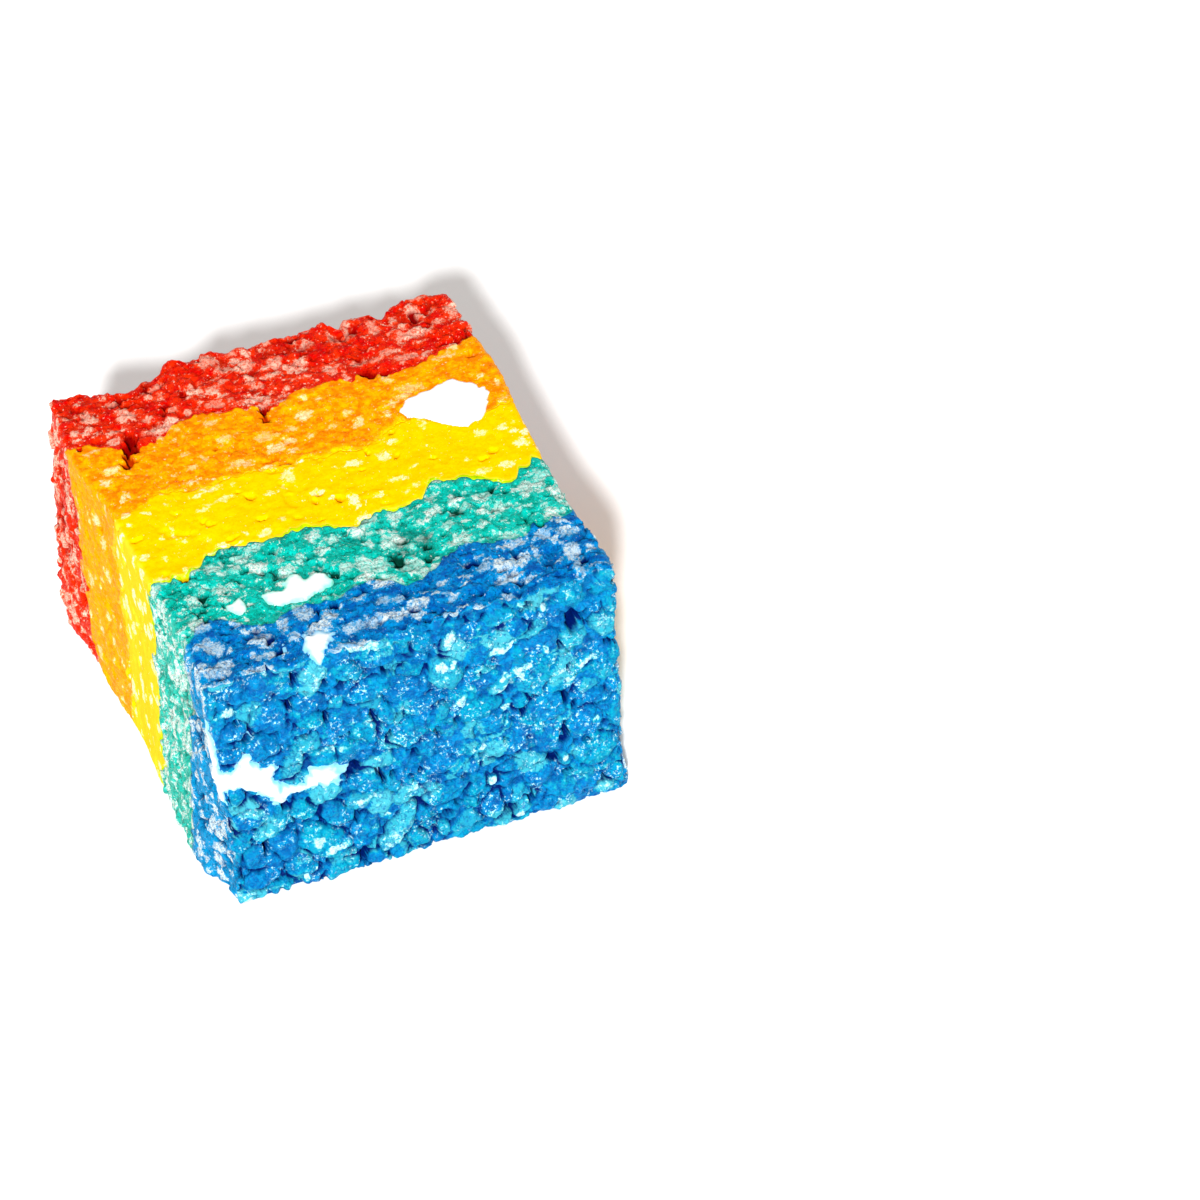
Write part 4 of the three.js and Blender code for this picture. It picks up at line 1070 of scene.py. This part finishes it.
rice_layer("red", ORANGE_BACK, DEPTH, ORANGE_END, None, RED_LOOK)

# Marshmallow lumps in the top
# White lumps of marshmallow that didn't melt when the rice was stirred in. The knife cut them flush
# with the top. They are soft and matt, with ragged rims.
LUMP_DEPTH = 3
LUMP_MARGIN = 1


def marshmallow_material():
    """White marshmallow foam: soft, matt and faintly uneven. Where it is a thin skin, the colour
    below shows through, which is blue where the mark deep is 0 and green where it is 1."""
    mix = Recipe("marshmallow_foam")
    patches = mix.spread(mix.noise(1.2, 3.0), 0.35, 0.65)
    white = mix.blend(patches, srgb(228, 228, 225), srgb(238, 238, 235))
    over_blue, over_green = srgb(120, 195, 232), srgb(128, 220, 200)
    tinted = mix.blend(mix.pale, mix.blend(mix.deep, over_blue, over_green), white)
    mix.links.new(tinted, mix.shader.inputs["Base Color"])
    mix.shader.inputs["Roughness"].default_value = 0.5
    mix.soften(0.3, 1.0)
    mix.bump(mix.noise(0.5, 3.0), 0.3, 0.15)
    return mix.material


marshmallow_foam = marshmallow_material()

for node, outline in LUMPS.items():
    low_x, low_y = np.min(outline, axis=0) - LUMP_MARGIN
    high_x, high_y = np.max(outline, axis=0) + LUMP_MARGIN
    lump = fine_block(node + "_lump", (low_x, low_y, HEIGHT - LUMP_DEPTH), (high_x, high_y, HEIGHT))
    points = read_points(lump)
    body, out = rounded(points)
    within = inside_outline(outline, points[:, 0], points[:, 1])
    within += 0.1 + 0.3 * cloud(points, 1.1, 50) + 0.25 * cloud(points, 0.5, 51)
    # The lump stands just out of the cut inside its outline, and lies below it round that.
    lift = -1.6 + 1.75 * rising(within, -0.25, 0.2) + 0.06 * cloud(points, 1.5, 52)
    shift = out * (SWELL * cloud(body, 8, 7) + lift)[:, None]
    whole = np.clip(1.6 * within - 0.2, 0, 1)
    if node == "marshmallow_large":
        whole[:] = 1
    write_points(lump, leaned(body + shift), whole, deep=1.0)
    finish_piece(lump, node, marshmallow_foam)

# Marshmallow on the front
# A thin torn skin of marshmallow smeared over the grains and round the left edge, and a scrap
# over the top edge. They lie on the pressed face like frosting and bridge its crevices.
SMEAR_LIFT = 0.06

# Outlines of the smear, in x and z with minus values round the left edge, and of the scrap on the
# top, in x and y, and on the front, in x and z.
SMEAR_OUTLINE = [
    (-1.3, 29.5), (-0.7, 27.2), (-0.3, 25), (0.2, 22.5), (1.5, 21.7), (2.5, 22.3), (4.2, 23.3), (4.5, 22),
    (5.2, 21.2), (7, 20.8), (7.2, 19.8), (6.3, 18.9), (6.6, 17.8), (7.5, 17), (9, 16.9), (10.2, 17),
    (10.8, 17.8), (12, 18.6), (13.2, 18.4), (14.5, 18.2), (14.9, 17.2), (16.2, 17), (15, 16),
    (14.5, 15.2), (12, 15.4), (10.3, 15.8), (9, 15.4), (7.8, 15.2), (7.4, 14.3), (6.5, 14.2), (6, 15.2),
    (5.2, 16.4), (4.4, 17), (3.7, 17.8), (3, 18.4), (2, 19.1), (0.7, 19.3), (0, 18.4), (-0.1, 17.2),
    (-0.6, 17), (-1.2, 17.6), (-2.0, 19), (-2.2, 22), (-2.4, 25), (-1.9, 27),
]
SCRAP_TOP = [
    (14, 4.7), (14.5, 3.8), (15.4, 4.4), (17.3, 3.4), (17, 2.2), (16.1, 1.3), (15.8, -2), (13.4, -2),
    (13.6, 1.3), (13.6, 3.1),
]
SCRAP_FRONT = [(13.3, 36.5), (16.2, 36.5), (15.4, 35.2), (14.7, 34.1), (13.9, 34.7), (13.4, 35.8)]


def torn_skin(name, node, low, high, thickness):
    """A skin over the blue layer's own surface, which dives below that surface where it ends."""
    piece = fine_block(name, low, high)
    points = read_points(piece)
    body, out = rounded(points)
    cut = cut_face(body, out, BLUE_LOOK, np.zeros(len(points)))[0]
    within = thickness(body)
    lift = np.clip(within, -0.8, 0.5) * 0.5
    lift = np.where(within > 0, lift + SMEAR_LIFT, lift)
    shift = out * (np.maximum(cut, -0.15) + lift)[:, None]
    shift[:, 1] = 0
    level = push_pressed(body, out, shift, front=True)[1]
    fade = 1 - rising(body[:, 1], EDGE_RADIUS, PRESSED_REACH)
    filled = np.where(within > -0.1, np.maximum(level, -0.35) - level, 0)
    shift[:, 1] -= (filled + lift) * fade * rising(np.abs(out[:, 1]), 0.0, 0.3)
    thin = 0.4 * rising(body[:, 0], 9, 13) * (body[:, 2] < 25) + 0.25 * cloud(body, 1.0, 57)
    whole = np.clip(1.3 * within - 0.05 - thin, 0, 1)
    write_points(piece, leaned(body + shift), whole, deep=0.0)
    finish_piece(piece, node, marshmallow_foam)


def smear_thickness(body):
    """How far inside the smear's ragged outline each point lies, going round the left edge."""
    around = body[:, 0] - body[:, 1]
    within = inside_outline(SMEAR_OUTLINE, around, body[:, 2])
    return within + 0.1 + 0.3 * cloud(body, 1.6, 53) + 0.35 * cloud(body, 0.6, 54)


def scrap_thickness(body):
    """How far inside the scrap's ragged outline each point lies, on the top or on the front."""
    on_top = inside_outline(SCRAP_TOP, body[:, 0], body[:, 1])
    on_front = inside_outline(SCRAP_FRONT, body[:, 0], body[:, 2])
    within = np.where((body[:, 1] < 1.0) | (body[:, 2] < HEIGHT - 1.0), on_front, on_top)
    return within + 0.3 * cloud(body, 1.2, 55) + 0.15 * cloud(body, 0.5, 56)


torn_skin("marshmallow_torn_skin", "marshmallow_smear", (0, 0, 12), (20, 5, 31), smear_thickness)
torn_skin("marshmallow_edge_scrap", "marshmallow_edge", (11, 0, 30), (19, 6, HEIGHT), scrap_thickness)

# Floor and light
# A plain white table under one clear light, which comes from above the front and a little from the
# left, and an even, slightly warm white surround.
TABLE_SIZE = 6
TABLE_TOP = -0.0001
LIGHT_TRAVELS = (18, 48.5, -35.5)
floor_material = bpy.data.materials.new("white_table")
floor_material.use_nodes = True
floor_shader = floor_material.node_tree.nodes["Principled BSDF"]
floor_shader.inputs["Base Color"].default_value = (0.97, 0.97, 0.97, 1)
floor_shader.inputs["Roughness"].default_value = 0.9
bpy.ops.object.select_all(action="DESELECT")
bpy.ops.mesh.primitive_plane_add(size=TABLE_SIZE, location=(0, 0, TABLE_TOP))
floor = bpy.context.object
floor.name = "table"
floor.data.materials.append(floor_material)

world = bpy.data.worlds.new("surround")
world.use_nodes = True
background = world.node_tree.nodes["Background"]
background.inputs["Color"].default_value = (1.0, 0.97, 0.94, 1)
background.inputs["Strength"].default_value = 0.6
bpy.context.scene.world = world

key_data = bpy.data.lights.new("key", "SUN")
key_data.energy = 5.2
key_data.angle = math.radians(4)
key = bpy.data.objects.new("key", key_data)
bpy.context.scene.collection.objects.link(key)
key.rotation_euler = Vector(LIGHT_TRAVELS).to_track_quat("-Z", "Y").to_euler()
bpy.context.scene.view_settings.view_transform = "Standard"
